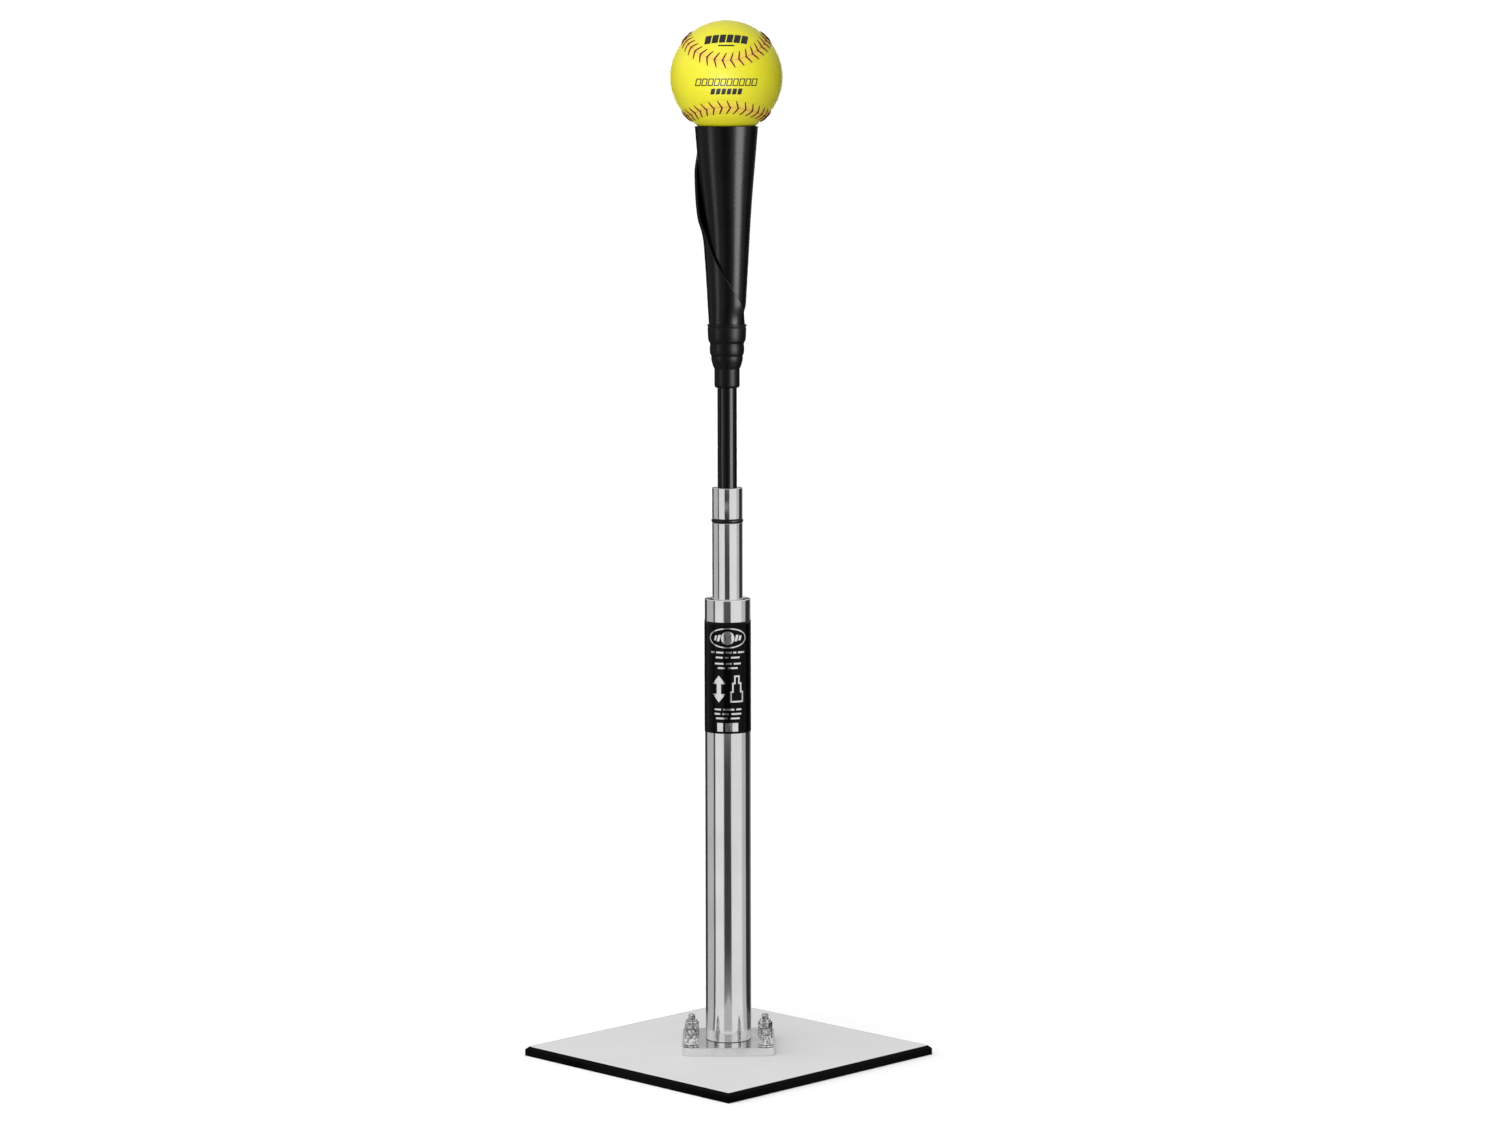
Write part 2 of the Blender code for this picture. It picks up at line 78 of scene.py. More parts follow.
# Kinds of node socket
NUMBER, WHOLE, VECTOR = "NodeSocketFloat", "NodeSocketInt", "NodeSocketVector"
OBJECT, MATERIAL, GEOMETRY = "NodeSocketObject", "NodeSocketMaterial", "NodeSocketGeometry"
COLOUR_A, COLOUR_B, COLOUR_RESULT = 6, 7, 2  # a Mix node's sockets for colours


# ---------------------------------------------------------------------------------------------
# Sizes and colours that a user would change
# ---------------------------------------------------------------------------------------------


def number(name, description, default, **options):
    return FloatProperty(name=name, description=description, default=default, **options)


def length(name, description, default):
    return number(name, description, default, unit="LENGTH", precision=5)


def turn(name, description, degrees):
    return number(name, description, math.radians(degrees), unit="ROTATION")


def colour(name, description, default):
    options = {"subtype": "COLOR", "min": 0.0, "max": 1.0, "size": 3}
    return FloatVectorProperty(name=name, description=description, default=default, **options)


class TEE_PG_metal(bpy.types.PropertyGroup):
    """The polished stem, the base plate and the fasteners."""

    steel: colour("Steel", "Colour of the polished tubes and flange", (0.86, 0.86, 0.86))
    steel_roughness: number("Steel roughness", "How far the polish blurs reflections", 0.1, min=0, max=1)
    plate: colour("Plate", "Colour of the base plate's satin top", (0.68, 0.68, 0.68))
    zinc: colour("Zinc", "Colour of the nuts, washers and bolts", (0.80, 0.80, 0.81))
    edge_round: length("Edge round", "Rounding of the cut metal edges", 0.35 * MM)
    thread_pitch: length("Thread pitch", "Distance between the turns of the bolt's thread", 1.0 * MM)


class TEE_PG_rubber(bpy.types.PropertyGroup):
    """The mat, the sleeve, the stop ring and the rolled cone."""

    black: colour("Black", "Colour of the cone and the sleeve", (0.0010, 0.0010, 0.0011))
    mat: colour("Mat", "Colour of the mat round the plate", (0.0012, 0.0012, 0.0012))
    sheet_thickness: length("Sheet thickness", "Thickness of the cone's rubber sheet", 2.5 * MM)
    layer_gap: length("Layer gap", "Air between two layers of the rolled sheet", 0.4 * MM)
    inner_edge: turn("Inner edge", "Where the roll's hidden edge lies, counted from the front", -505)
    climb: turn("Climb", "Turn in which the sheet climbs onto its first layer", 80)
    edge_left: turn("Outer edge, rim", "Where the roll's outer edge lies at the rim", -120)
    edge_sweep: turn("Outer edge, sweep", "How far the outer edge winds round below the rim", 166)
    edge_lift: length("Outer edge, lift", "How far the loose edge stands off the layer under it", 3.6 * MM)


class TEE_PG_label(bpy.types.PropertyGroup):
    """The vinyl label round the outer tube."""

    vinyl: colour("Vinyl", "Colour of the label", (0.0015, 0.0015, 0.0015))
    ink: colour("Foil", "Colour of the marks on the label", (0.96, 0.96, 0.96))


class TEE_PG_ball(bpy.types.PropertyGroup):
    """The softball and its stitching."""

    leather: colour("Leather", "Colour of the ball", (0.485, 0.452, 0.006))
    thread: colour("Thread", "Colour of the stitches", (0.07, 0.006, 0.0005))
    ink: colour("Ink", "Colour of the printed marks", (0.003, 0.003, 0.002))
    waist: length("Waist", "Distance across the seam's narrow waist", 40.4 * MM)
    stitch_pitch: length("Stitch pitch", "Distance from one stitch to the next", 7.0 * MM)
    stitch_reach: length("Stitch reach", "Distance from the seam to a stitch's hole", 6.6 * MM)
    stitch_lead: length("Stitch lead", "How far a stitch's point runs ahead of its holes", 3.2 * MM)
    thread_radius: length("Thread radius", "Radius of the stitching thread", 0.62 * MM)
    tilt: turn("Tilt", "How far the waist's centre lies below the ball's front", 8)


class TEE_PG_stage(bpy.types.PropertyGroup):
    """The camera, the floor and the lights."""

    camera_distance: length("Camera distance", "Level distance from the stem to the camera", 3.63)
    camera_height: length("Camera height", "Height of the camera above the floor", 0.8456)
    aim_height: length("Aim height", "Height of the point that the camera looks at", 0.4373)
    aim_side: length("Aim side", "How far right of the stem the camera looks", 0.0196)
    lens: number("Lens", "Focal length of the camera in millimetres", 100.66)
    camera_roll: turn("Camera roll", "How far the camera leans to its right", 0.1)
    floor_side: length("Floor side", "Side of the square floor", 30.0)
    softbox: number("Softbox", "Brightness of the overhead softbox", 0.8)
    fill: number("Fill", "Even part of the light that falls on the tee", 0.62)
    key: number("Key", "Part of the light that comes from the left front", 1.95)
    strip: number("Strip", "Power in watts of the strip light on black pieces", 88)
    ball_softbox: number("Ball softbox", "Power in watts of the light on the ball", 36)


SETTINGS = {
    "tee_metal": TEE_PG_metal,
    "tee_rubber": TEE_PG_rubber,
    "tee_label": TEE_PG_label,
    "tee_ball": TEE_PG_ball,
    "tee_stage": TEE_PG_stage,
}


# ---------------------------------------------------------------------------------------------
# Node arithmetic and shared shader groups
# ---------------------------------------------------------------------------------------------


class Field:
    """A node's output that works in ordinary arithmetic, in shader and geometry trees alike."""

    def __init__(self, tree, socket):
        self.tree = tree
        self.socket = socket

    def math(self, operation, *others, clamp=False):
        node = self.tree.nodes.new("ShaderNodeMath")
        node.operation = operation
        node.use_clamp = clamp
        for slot, value in zip(node.inputs, (self, *others)):
            plug(self.tree, value, slot)
        return Field(self.tree, node.outputs[0])

    def __add__(self, other):
        return self.math("ADD", other)

    def __sub__(self, other):
        return self.math("SUBTRACT", other)

    def __mul__(self, other):
        return self.math("MULTIPLY", other)

    def __truediv__(self, other):
        return self.math("DIVIDE", other)

    def __pow__(self, other):
        return self.math("POWER", other)

    def __neg__(self):
        return self * -1.0

    def __radd__(self, other):
        return self + other

    def __rmul__(self, other):
        return self * other

    def __rsub__(self, other):
        return -self + other

    def absolute(self):
        return self.math("ABSOLUTE")

    def sine(self):
        return self.math("SINE")

    def cosine(self):
        return self.math("COSINE")

    def at_least(self, other):
        return self.math("MAXIMUM", other)

    def at_most(self, other):
        return self.math("MINIMUM", other)

    def smooth(self):
        """0 below 0, 1 above 1, and an even curve between them."""
        value = self.math("ADD", 0.0, clamp=True)
        return value * value * (3.0 - 2.0 * value)


def plug(tree, value, slot):
    """Links a Field or a socket to a slot, or sets the slot's own value."""
    if isinstance(value, Field):
        tree.links.new(value.socket, slot)
    elif isinstance(value, bpy.types.NodeSocket):
        tree.links.new(value, slot)
    else:
        slot.default_value = value


def add_node(tree, kind, inputs=None, **settings):
    """A new node with its settings, and its inputs given by name or number."""
    node = tree.nodes.new(kind)
    for name, value in settings.items():
        setattr(node, name, value)
    for name, value in (inputs or {}).items():
        plug(tree, value, node.inputs[name])
    return node


def parts_of(tree, vector):
    """A vector's x, y and z, as Fields."""
    node = add_node(tree, "ShaderNodeSeparateXYZ", {0: vector})
    return [Field(tree, socket) for socket in node.outputs]


def level_axes(x, y):
    """How far a place lies to the right of the front, and how far ahead of the stem."""
    return x * RIGHT.x + y * RIGHT.y, x * FRONT.x + y * FRONT.y


def new_group(name, kind, inputs, outputs):
    """A node group with named sockets. Returns (group, {input name: Field}, output node)."""
    group = bpy.data.node_groups.new(name, kind)
    for title, socket_type, default in inputs:
        socket = group.interface.new_socket(title, in_out="INPUT", socket_type=socket_type)
        if default is not None:
            socket.default_value = default
    for title, socket_type in outputs:
        group.interface.new_socket(title, in_out="OUTPUT", socket_type=socket_type)
    entry = group.nodes.new("NodeGroupInput")
    fields = {title: Field(group, entry.outputs[title]) for title, _, _ in inputs}
    return group, fields, group.nodes.new("NodeGroupOutput")


def shader_group(name, make):
    """The named shader group, built the first time that it is asked for."""
    return bpy.data.node_groups.get(name) or make(name)


def stretched_noise(group, fields, detail):
    """Noise over the group's Vector times its Stretch."""
    factors = {0: fields["Vector"], 1: fields["Stretch"]}
    product = add_node(group, "ShaderNodeVectorMath", factors, operation="MULTIPLY")
    inputs = {"Vector": product.outputs[0], "Scale": fields["Scale"], "Detail": detail}
    return Field(group, add_node(group, "ShaderNodeTexNoise", inputs).outputs["Fac"])


def make_grain(name):
    """Fine irregular grain: a height, and a value that wanders between two limits."""
    inputs = [
        ("Vector", VECTOR, None),
        ("Stretch", VECTOR, (1.0, 1.0, 1.0)),
        ("Scale", NUMBER, 500.0),
        ("Detail", NUMBER, 3.0),
        ("Low", NUMBER, 0.0),
        ("High", NUMBER, 1.0),
    ]
    group, fields, out = new_group(name, "ShaderNodeTree", inputs, [("Value", NUMBER), ("Height", NUMBER)])
    height = stretched_noise(group, fields, fields["Detail"])
    lowest, spread = 0.35, 0.3  # most of the noise lies between these
    value = fields["Low"] + (fields["High"] - fields["Low"]) * ((height - lowest) / spread).smooth()
    plug(group, value, out.inputs["Value"])
    plug(group, height, out.inputs["Height"])
    return group


def make_scuffs(name):
    """A mask of sparse thin scratches, stretched along one direction."""
    inputs = [
        ("Vector", VECTOR, None),
        ("Stretch", VECTOR, (1.0, 1.0, 0.05)),
        ("Scale", NUMBER, 300.0),
        ("Amount", NUMBER, 0.3),
    ]
    group, fields, out = new_group(name, "ShaderNodeTree", inputs, [("Mask", NUMBER)])
    patches = add_node(group, "ShaderNodeTexNoise", {"Vector": fields["Vector"], "Scale": 28.0})
    line_start, patch_start = 0.62, 0.42  # only noise above these leaves a scratch
    thin = ((stretched_noise(group, fields, 5.0) - line_start) / 0.08).smooth()
    where = ((Field(group, patches.outputs["Fac"]) - patch_start) / 0.25).smooth()
    plug(group, thin * where * fields["Amount"], out.inputs["Mask"])
    return group


# Start and end of each softbox round the stem, in degrees right of the front, and its brightness
STUDIO_RING = (
    (-181, -128, 0.04),
    (-128, -77, 0.50),
    (-77, -67, 0.06),
    (-67, -21, 0.80),
    (16, 74, 0.80),
    (74, 100, 0.50),
    (100, 141, 0.03),
    (141, 181, 0.22),
)
FRONT_GAP = (-21, 16)  # the gap in front, whose brightness is the group's input
RING_BLUR = 3.0  # degrees over which a softbox's edge fades


def make_ring(name):
    """The brightness of the studio in a level direction: softboxes with dark gaps between them."""
    inputs = [("Vector", VECTOR, None), ("Front Gap", NUMBER, 0.06)]
    group, fields, out = new_group(name, "ShaderNodeTree", inputs, [("Level", NUMBER)])
    x, y, _ = parts_of(group, fields["Vector"])
    side, ahead = level_axes(x, y)
    azimuth = side.math("ARCTAN2", ahead) * (180 / math.pi)
    level = None
    for start, end, brightness in (*STUDIO_RING, (*FRONT_GAP, fields["Front Gap"])):
        begun = ((azimuth - (start - RING_BLUR / 2)) / RING_BLUR).smooth()
        passed = ((azimuth - (end - RING_BLUR / 2)) / RING_BLUR).smooth()
        box = (begun - passed) * brightness
        level = box if level is None else level + box
    plug(group, level, out.inputs["Level"])
    return group


class Finish:
    """A material under construction: its tree, its Principled shader and its coordinates."""

    def __init__(self, name, roughness=0.5, metallic=0.0, specular=0.5):
        self.material = bpy.data.materials.new(name)
        self.material.use_nodes = True
        self.tree = self.material.node_tree
        self.shader = self.tree.nodes["Principled BSDF"]
        self.shader.inputs["Roughness"].default_value = roughness
        self.shader.inputs["Metallic"].default_value = metallic
        self.shader.inputs["Specular IOR Level"].default_value = specular
        self.object_space = add_node(self.tree, "ShaderNodeTexCoord").outputs["Object"]

    def group(self, name, make, **inputs):
        node = add_node(self.tree, "ShaderNodeGroup", node_tree=shader_group(name, make))
        plug(self.tree, self.object_space, node.inputs["Vector"])
        for socket, value in inputs.items():
            plug(self.tree, value, node.inputs[socket])
        return {output.name: Field(self.tree, output) for output in node.outputs if output.name}

    def grain(self, **inputs):
        return self.group("tee_grain", make_grain, **inputs)

    def scuffs(self, **inputs):
        return self.group("tee_scuffs", make_scuffs, **inputs)["Mask"]

    def mix(self, amount, first, second):
        """A colour between two colours."""
        node = add_node(self.tree, "ShaderNodeMix", {"Factor": amount}, data_type="RGBA")
        for slot, value in ((COLOUR_A, first), (COLOUR_B, second)):
            linked = isinstance(value, bpy.types.NodeSocket)
            plug(self.tree, value if linked else (*value, 1.0), node.inputs[slot])
        return node.outputs[COLOUR_RESULT]

    def coordinates(self, centre=(0, 0, 0)):
        """Object coordinates less a centre, as three Fields."""
        inputs = {0: self.object_space, 1: centre}
        place = add_node(self.tree, "ShaderNodeVectorMath", inputs, operation="SUBTRACT")
        return parts_of(self.tree, place.outputs[0])

    def attribute(self, name):
        node = add_node(self.tree, "ShaderNodeAttribute", attribute_name=name)
        return Field(self.tree, node.outputs["Fac"])

    def set(self, socket, value):
        plug(self.tree, value, self.shader.inputs[socket])

    def surface(self, colour, roughness, relief, strength, depth):
        """Sets the colour, the roughness and a bump of a given depth. Returns the material."""
        self.set("Base Color", colour)
        self.set("Roughness", roughness)
        inputs = {"Height": relief, "Strength": strength, "Distance": depth}
        self.set("Normal", add_node(self.tree, "ShaderNodeBump", inputs).outputs[0])
        return self.material


def shade(rgb, factor):
    """A colour made lighter or darker."""
    return tuple(min(1.0, part * factor) for part in rgb)


def grey(level):
    return (level, level, level)


# ---------------------------------------------------------------------------------------------
# Mesh helpers
# ---------------------------------------------------------------------------------------------


def add_piece(name, mesh, material, sharp=35):
    """An object for a piece, from a bmesh that it uses up, or from a finished mesh."""
    if isinstance(mesh, bmesh.types.BMesh):
        data = bpy.data.meshes.new(name)
        mesh.to_mesh(data)
        mesh.free()
    else:
        data = mesh
        data.name = name
    if not data.materials:
        data.materials.append(material)
    data.shade_smooth()
    data.set_sharp_from_angle(angle=math.radians(sharp))
    piece = bpy.data.objects.new(name, data)
    bpy.context.scene.collection.objects.link(piece)
    return piece


def stand_for(piece, body, slot, *nodes):
    """Says which body a piece rides on and which CAD nodes it stands for. The slot is not used."""
    if body:
        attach(piece, body)
    if nodes:
        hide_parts(*nodes)


def rounded(outline, radius, steps=4):
    """A closed outline with an arc of the given radius at each corner."""
    points = []
    count = len(outline)
    most = 0.45  # the share of a side that one arc may take up
    for index, corner in enumerate(outline):
        here = Vector(corner)
        before = Vector(outline[index - 1]) - here
        after = Vector(outline[(index + 1) % count]) - here
        reach = min(radius, before.length * most, after.length * most)
        start = here + before.normalized() * reach
        end = here + after.normalized() * reach
        for step in range(steps + 1):
            t = step / steps
            points.append((1 - t) ** 2 * start + 2 * t * (1 - t) * here + t * t * end)
    return [(point.x, point.y) for point in points]


def turned(outline, segments=TURNED_SEGMENTS, closed=True):
    """A mesh round Z from (radius, height) points, or from a function that gives them at an angle."""
    mesh = bmesh.new()
    columns = []
    for index in range(segments):
        angle = 2 * math.pi * index / segments
        points = outline(angle) if callable(outline) else outline
        cos, sin = math.cos(angle), math.sin(angle)
        columns.append([mesh.verts.new((r * cos, r * sin, z)) for r, z in points])
    rows = len(columns[0])
    for index, column in enumerate(columns):
        following = columns[(index + 1) % segments]
        for row in range(rows if closed else rows - 1):
            above = (row + 1) % rows
            mesh.faces.new((column[row], following[row], following[above], column[above]))
    bmesh.ops.remove_doubles(mesh, verts=mesh.verts, dist=0.1 * MICRON)
    bmesh.ops.recalc_face_normals(mesh, faces=mesh.faces)
    return mesh


def tube_outline(inner, outer, bottom, top, edge):
    return rounded([(inner, bottom), (outer, bottom), (outer, top), (inner, top)], edge)


def node_sizes(node):
    """(outer radius, bottom, top) of a turned CAD node on the stem's axis."""
    low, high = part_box(node)
    return max(high.x, high.y, -low.x, -low.y), low.z, high.z


def bore_radius(node):
    """The smallest radius at which a turned CAD node has material."""
    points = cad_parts[node].data.vertices
    return min(math.hypot(v.co.x, v.co.y) for v in points)


def add_tube(node, name, material, edge, body, slot):
    """A plain tube with rounded ends, in the place of a CAD node."""
    radius, bottom, top = node_sizes(node)
    line = tube_outline(bore_radius(node), radius, bottom, top, edge)
    stand_for(add_piece(name, turned(line), material), body, slot, node)


def round_edges(piece, width, segments, least, harden):
    """Rounds the edges at which the surface turns by at least an angle in degrees."""
    bevel = piece.modifiers.new("Edges", "BEVEL")
    bevel.width = width
    bevel.segments = segments
    bevel.limit_method = "ANGLE"
    bevel.angle_limit = math.radians(least)
    bevel.harden_normals = harden


def thicken(piece, thickness):
    """Gives a surface its wall, on its inner side. Returns the modifier."""
    wall = piece.modifiers.new("Thickness", "SOLIDIFY")
    wall.thickness = thickness
    wall.offset = -1
    return wall


def softened_copy(node, name, material, width):
    """A piece from a CAD node's mesh, with its flat faces merged and its edges rounded."""
    mesh = bmesh.new()
    mesh.from_mesh(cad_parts[node].data)
    bmesh.ops.remove_doubles(mesh, verts=mesh.verts, dist=MICRON)
    bmesh.ops.dissolve_limit(mesh, angle_limit=math.radians(1), verts=mesh.verts, edges=mesh.edges)
    piece = add_piece(name, mesh, material)
    round_edges(piece, width, segments=3, least=40, harden=True)
    return piece


def evaluated_mesh(piece):
    """The piece's mesh as its modifiers leave it."""
    graph = bpy.context.evaluated_depsgraph_get()
    return bpy.data.meshes.new_from_object(piece.evaluated_get(graph))


def run_tree(name, tree, inputs, sharp=35):
    """A plain piece from a geometry tree: the modifier is run once and removed."""
    holder = bpy.data.objects.new(f"{name}_source", bpy.data.meshes.new(f"{name}_source"))
    bpy.context.scene.collection.objects.link(holder)
    modifier = holder.modifiers.new(name, "NODES")
    modifier.node_group = tree
    for item in tree.interface.items_tree:
        if item.in_out == "INPUT" and item.name in inputs:
            modifier[item.identifier] = inputs[item.name]
    data = evaluated_mesh(holder)
    bpy.data.objects.remove(holder)
    return add_piece(name, data, None, sharp)


def turn_round_z(tree, angle):
    """A rotation about Z, for a geometry tree."""
    euler = add_node(tree, "ShaderNodeCombineXYZ", {"Z": angle})
    return add_node(tree, "FunctionNodeEulerToRotation", {0: euler.outputs[0]}).outputs[0]


def moved(tree, geometry, point):
    """Geometry whose points are moved to the three Fields of a place."""
    place = add_node(tree, "ShaderNodeCombineXYZ", dict(zip("XYZ", point)))
    inputs = {"Geometry": geometry, "Position": place.outputs[0]}
    return add_node(tree, "GeometryNodeSetPosition", inputs).outputs[0]


def put_out(tree, geometry, material, out):
    """Ends a geometry tree: its copies are made real, and its material is set."""
    real = add_node(tree, "GeometryNodeRealizeInstances", {0: geometry})
    inputs = {"Geometry": real.outputs[0], "Material": material}
    plug(tree, add_node(tree, "GeometryNodeSetMaterial", inputs).outputs[0], out.inputs[0])


# ---------------------------------------------------------------------------------------------
# Finishes
# ---------------------------------------------------------------------------------------------


def steel_finish():
    metal = bpy.context.scene.tee_metal
    finish = Finish("polished_steel", metallic=1.0)
    rough = metal.steel_roughness
    limits = {"Low": rough * 0.7, "High": rough * 1.5}
    streaks = finish.grain(Stretch=(1, 1, 0.012), Scale=900.0, Detail=4.0, **limits)
    clouds = finish.grain(Scale=22.0, Detail=2.0, Low=0.0, High=1.0)
    scuffs = finish.scuffs(Stretch=(1, 1, 0.03), Scale=260.0, Amount=0.10)
    _, _, height = finish.coordinates((0, 0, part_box("stem_flange")[1].z))
    darker_foot_band = 1.0 - (height / (0.9 * MM)).smooth()  # a thin band at the tube's foot, where it meets the flange, made darker
    polish = finish.mix(clouds["Value"], shade(metal.steel, 0.93), metal.steel)
    colour = finish.mix(darker_foot_band, polish, grey(0.05))
    return finish.surface(colour, streaks["Value"] + scuffs, streaks["Height"], 0.06, 0.02 * MM)


def flange_finish():
    """A polished top and plainer cut sides."""
    metal = bpy.context.scene.tee_metal
    finish = Finish("flange_steel", metallic=1.0)
    _, _, height = finish.coordinates((0, 0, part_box("stem_flange")[1].z - 0.5 * MM))
    brushed = finish.grain(Stretch=(1, 1, 0.3), Scale=500.0, Detail=3.0, Low=0.12, High=0.20)
    clouds = finish.grain(Scale=60.0, Detail=3.0)
    cut_side = 1.0 - (height / (0.3 * MM)).smooth()
    colour = finish.mix(clouds["Value"], shade(metal.steel, 0.90), metal.steel)
    return finish.surface(colour, brushed["Value"] + cut_side * 0.4, brushed["Height"], 0.03, 0.01 * MM)


def plate_finish():
    """Satin silver. Glossy rays see a painted reflection of the softboxes in its colour, so that polished
    metal sees them in it, except close to the flange.
    """
    metal = bpy.context.scene.tee_metal
    finish = Finish("silver_plate", metallic=0.0, specular=0.4)
    peel = finish.grain(Scale=900.0, Detail=2.0, Low=0.42, High=0.52)
    clouds = finish.grain(Scale=14.0, Detail=3.0)
    scuffs = finish.scuffs(Stretch=(1, 0.06, 1), Scale=120.0, Amount=0.12)
    light = finish.mix(clouds["Value"], shade(metal.plate, 0.975), metal.plate)
    satin = finish.mix(scuffs, light, shade(metal.plate, 0.8))
    ring = finish.group("tee_ring", make_ring, **{"Front Gap": 0.45})["Level"]
    brightest = max(brightness for _, _, brightness in STUDIO_RING)
    x, y, _ = finish.coordinates()
    clear = (((x * x + y * y) ** 0.5 - 63 * MM) / (6 * MM)).smooth()
    # painted reflection: the softboxes' pattern round the stem, and plain bright close to the flange
    painted_reflection_level = 1.0 - clear * (1.0 - (ring / brightest).at_most(1.0))
    mirrored = finish.mix(painted_reflection_level, grey(0.02), shade(metal.plate, 1.1))
    path = add_node(finish.tree, "ShaderNodeLightPath")
    # glossy rays see the painted reflection in place of the satin colour
    colour = finish.mix(path.outputs["Is Glossy Ray"], satin, mirrored)
    return finish.surface(colour, peel["Value"], peel["Height"], 0.12, 0.03 * MM)


def zinc_finish():
    metal = bpy.context.scene.tee_metal
    finish = Finish("zinc_fastener", metallic=1.0)
    crystals = finish.grain(Scale=1400.0, Detail=3.0, Low=0.03, High=0.09)
    blotches = finish.grain(Scale=520.0, Detail=4.0)
    dark, light = shade(metal.zinc, 0.35), shade(metal.zinc, 1.15)
    colour = finish.mix(blotches["Value"], dark, light)
    return finish.surface(colour, crystals["Value"], blotches["Height"], 0.3, 0.08 * MM)


def rubber_finish(name, base, roughness, specular=0.2, scale=1500.0, strength=0.25):
    """Moulded rubber. roughness holds two limits, and scale and strength are those of its grain."""
    finish = Finish(name, specular=specular)
    grain = finish.grain(Scale=scale, Detail=4.0, Low=roughness[0], High=roughness[1])
    clouds = finish.grain(Scale=35.0, Detail=3.0)
    scuffs = finish.scuffs(Stretch=(1, 1, 0.12), Scale=420.0, Amount=0.35)
    dark = finish.mix(clouds["Value"], shade(base, 0.8), shade(base, 1.15))
    colour = finish.mix(scuffs, dark, shade(base, 3.0))
    rough = grain["Value"] + clouds["Height"] * 0.06
    return finish.surface(colour, rough, grain["Height"], strength, 0.05 * MM)


def shaft_finish():
    finish = Finish("black_shaft", specular=0.17)
    streaks = finish.grain(Stretch=(1, 1, 0.02), Scale=800.0, Detail=3.0, Low=0.16, High=0.26)
    rubs = finish.scuffs(Stretch=(1, 1, 0.02), Scale=500.0, Amount=0.5)
    colour = finish.mix(rubs, (0.0012, 0.0012, 0.0014), grey(0.02))
    return finish.surface(colour, streaks["Value"] + rubs * 0.2, streaks["Height"], 0.1, 0.03 * MM)


def nylon_finish():
    finish = Finish("black_nylon", specular=0.4)
    grain = finish.grain(Scale=1200.0, Detail=2.0, Low=0.45, High=0.6)
    clouds = finish.grain(Scale=80.0)
    colour = finish.mix(clouds["Value"], grey(0.012), grey(0.022))
    return finish.surface(colour, grain["Value"], grain["Height"], 0.2, 0.04 * MM)


def vinyl_finish(base):
    """Glossy printed vinyl, with faint dimples."""
    finish = Finish("label_vinyl", specular=0.10)
    peel = finish.grain(Scale=420.0, Detail=2.0, Low=0.12, High=0.22)
    wear = finish.grain(Scale=1600.0, Detail=5.0)
    colour = finish.mix(wear["Value"], shade(base, 0.8), base)
    return finish.surface(colour, peel["Value"], peel["Height"], 0.12, 0.06 * MM)


def foil_finish(ink):
    """The label's printing: bare polished foil, which mirrors the room as the tube does."""
    finish = Finish("label_foil", metallic=1.0)
    peel = finish.grain(Scale=420.0, Detail=2.0, Low=0.14, High=0.24)
    wear = finish.grain(Scale=2200.0, Detail=4.0)
    colour = finish.mix(wear["Value"], shade(ink, 0.8), ink)
    return finish.surface(colour, peel["Value"], peel["Height"], 0.05, 0.03 * MM)


# ---------------------------------------------------------------------------------------------
# Operators, one for each group of pieces
# ---------------------------------------------------------------------------------------------


class TEE_OT_base(bpy.types.Operator):
    """Make the rubber mat and the steel plate that lies in it"""

    bl_idname = "tee.base"
    bl_label = "Base"

    def execute(self, context):
        coarse = {"specular": 0.05, "scale": 900.0, "strength": 0.5}
        mat_rubber = rubber_finish("mat_rubber", context.scene.tee_rubber.mat, (0.5, 0.65), **coarse)
        mat = softened_copy("base_mat", "mat", mat_rubber, 0.3 * MM)
        stand_for(mat, "base", "mat_rubber", "base_mat")
        plate = softened_copy("base_plate", "plate", plate_finish(), 0.25 * MM)
        stand_for(plate, "base", "silver_plate", "base_plate")
        return {"FINISHED"}


def fastener_tree(name):
    """Copies of one fastener on the corners of a square, each turned a little further."""
    inputs = [
        ("Fastener", OBJECT, None),
        ("Spacing", NUMBER, 0.0652),
        ("Pattern Turn", NUMBER, STEM_TURN),
        ("First Turn", NUMBER, math.radians(8)),
        ("Turn Step", NUMBER, math.radians(26)),
        ("Material", MATERIAL, None),
    ]
    tree, fields, out = new_group(name, "GeometryNodeTree", inputs, [("Geometry", GEOMETRY)])
    square = {"Size X": fields["Spacing"], "Size Y": fields["Spacing"], "Vertices X": 2, "Vertices Y": 2}
    corners = add_node(tree, "GeometryNodeMeshGrid", square)
    source = add_node(tree, "GeometryNodeObjectInfo", {"Object": fields["Fastener"]})
    index = Field(tree, tree.nodes.new("GeometryNodeInputIndex").outputs[0])
    own_turn = turn_round_z(tree, fields["First Turn"] + index * fields["Turn Step"])
    inputs = {"Points": corners.outputs[0], "Instance": source.outputs["Geometry"], "Rotation": own_turn}
    copies = add_node(tree, "GeometryNodeInstanceOnPoints", inputs)
    inputs = {"Geometry": copies.outputs[0], "Rotation": turn_round_z(tree, fields["Pattern Turn"])}
    placed = add_node(tree, "GeometryNodeTransform", inputs)
    put_out(tree, placed.outputs[0], fields["Material"], out)
    return tree


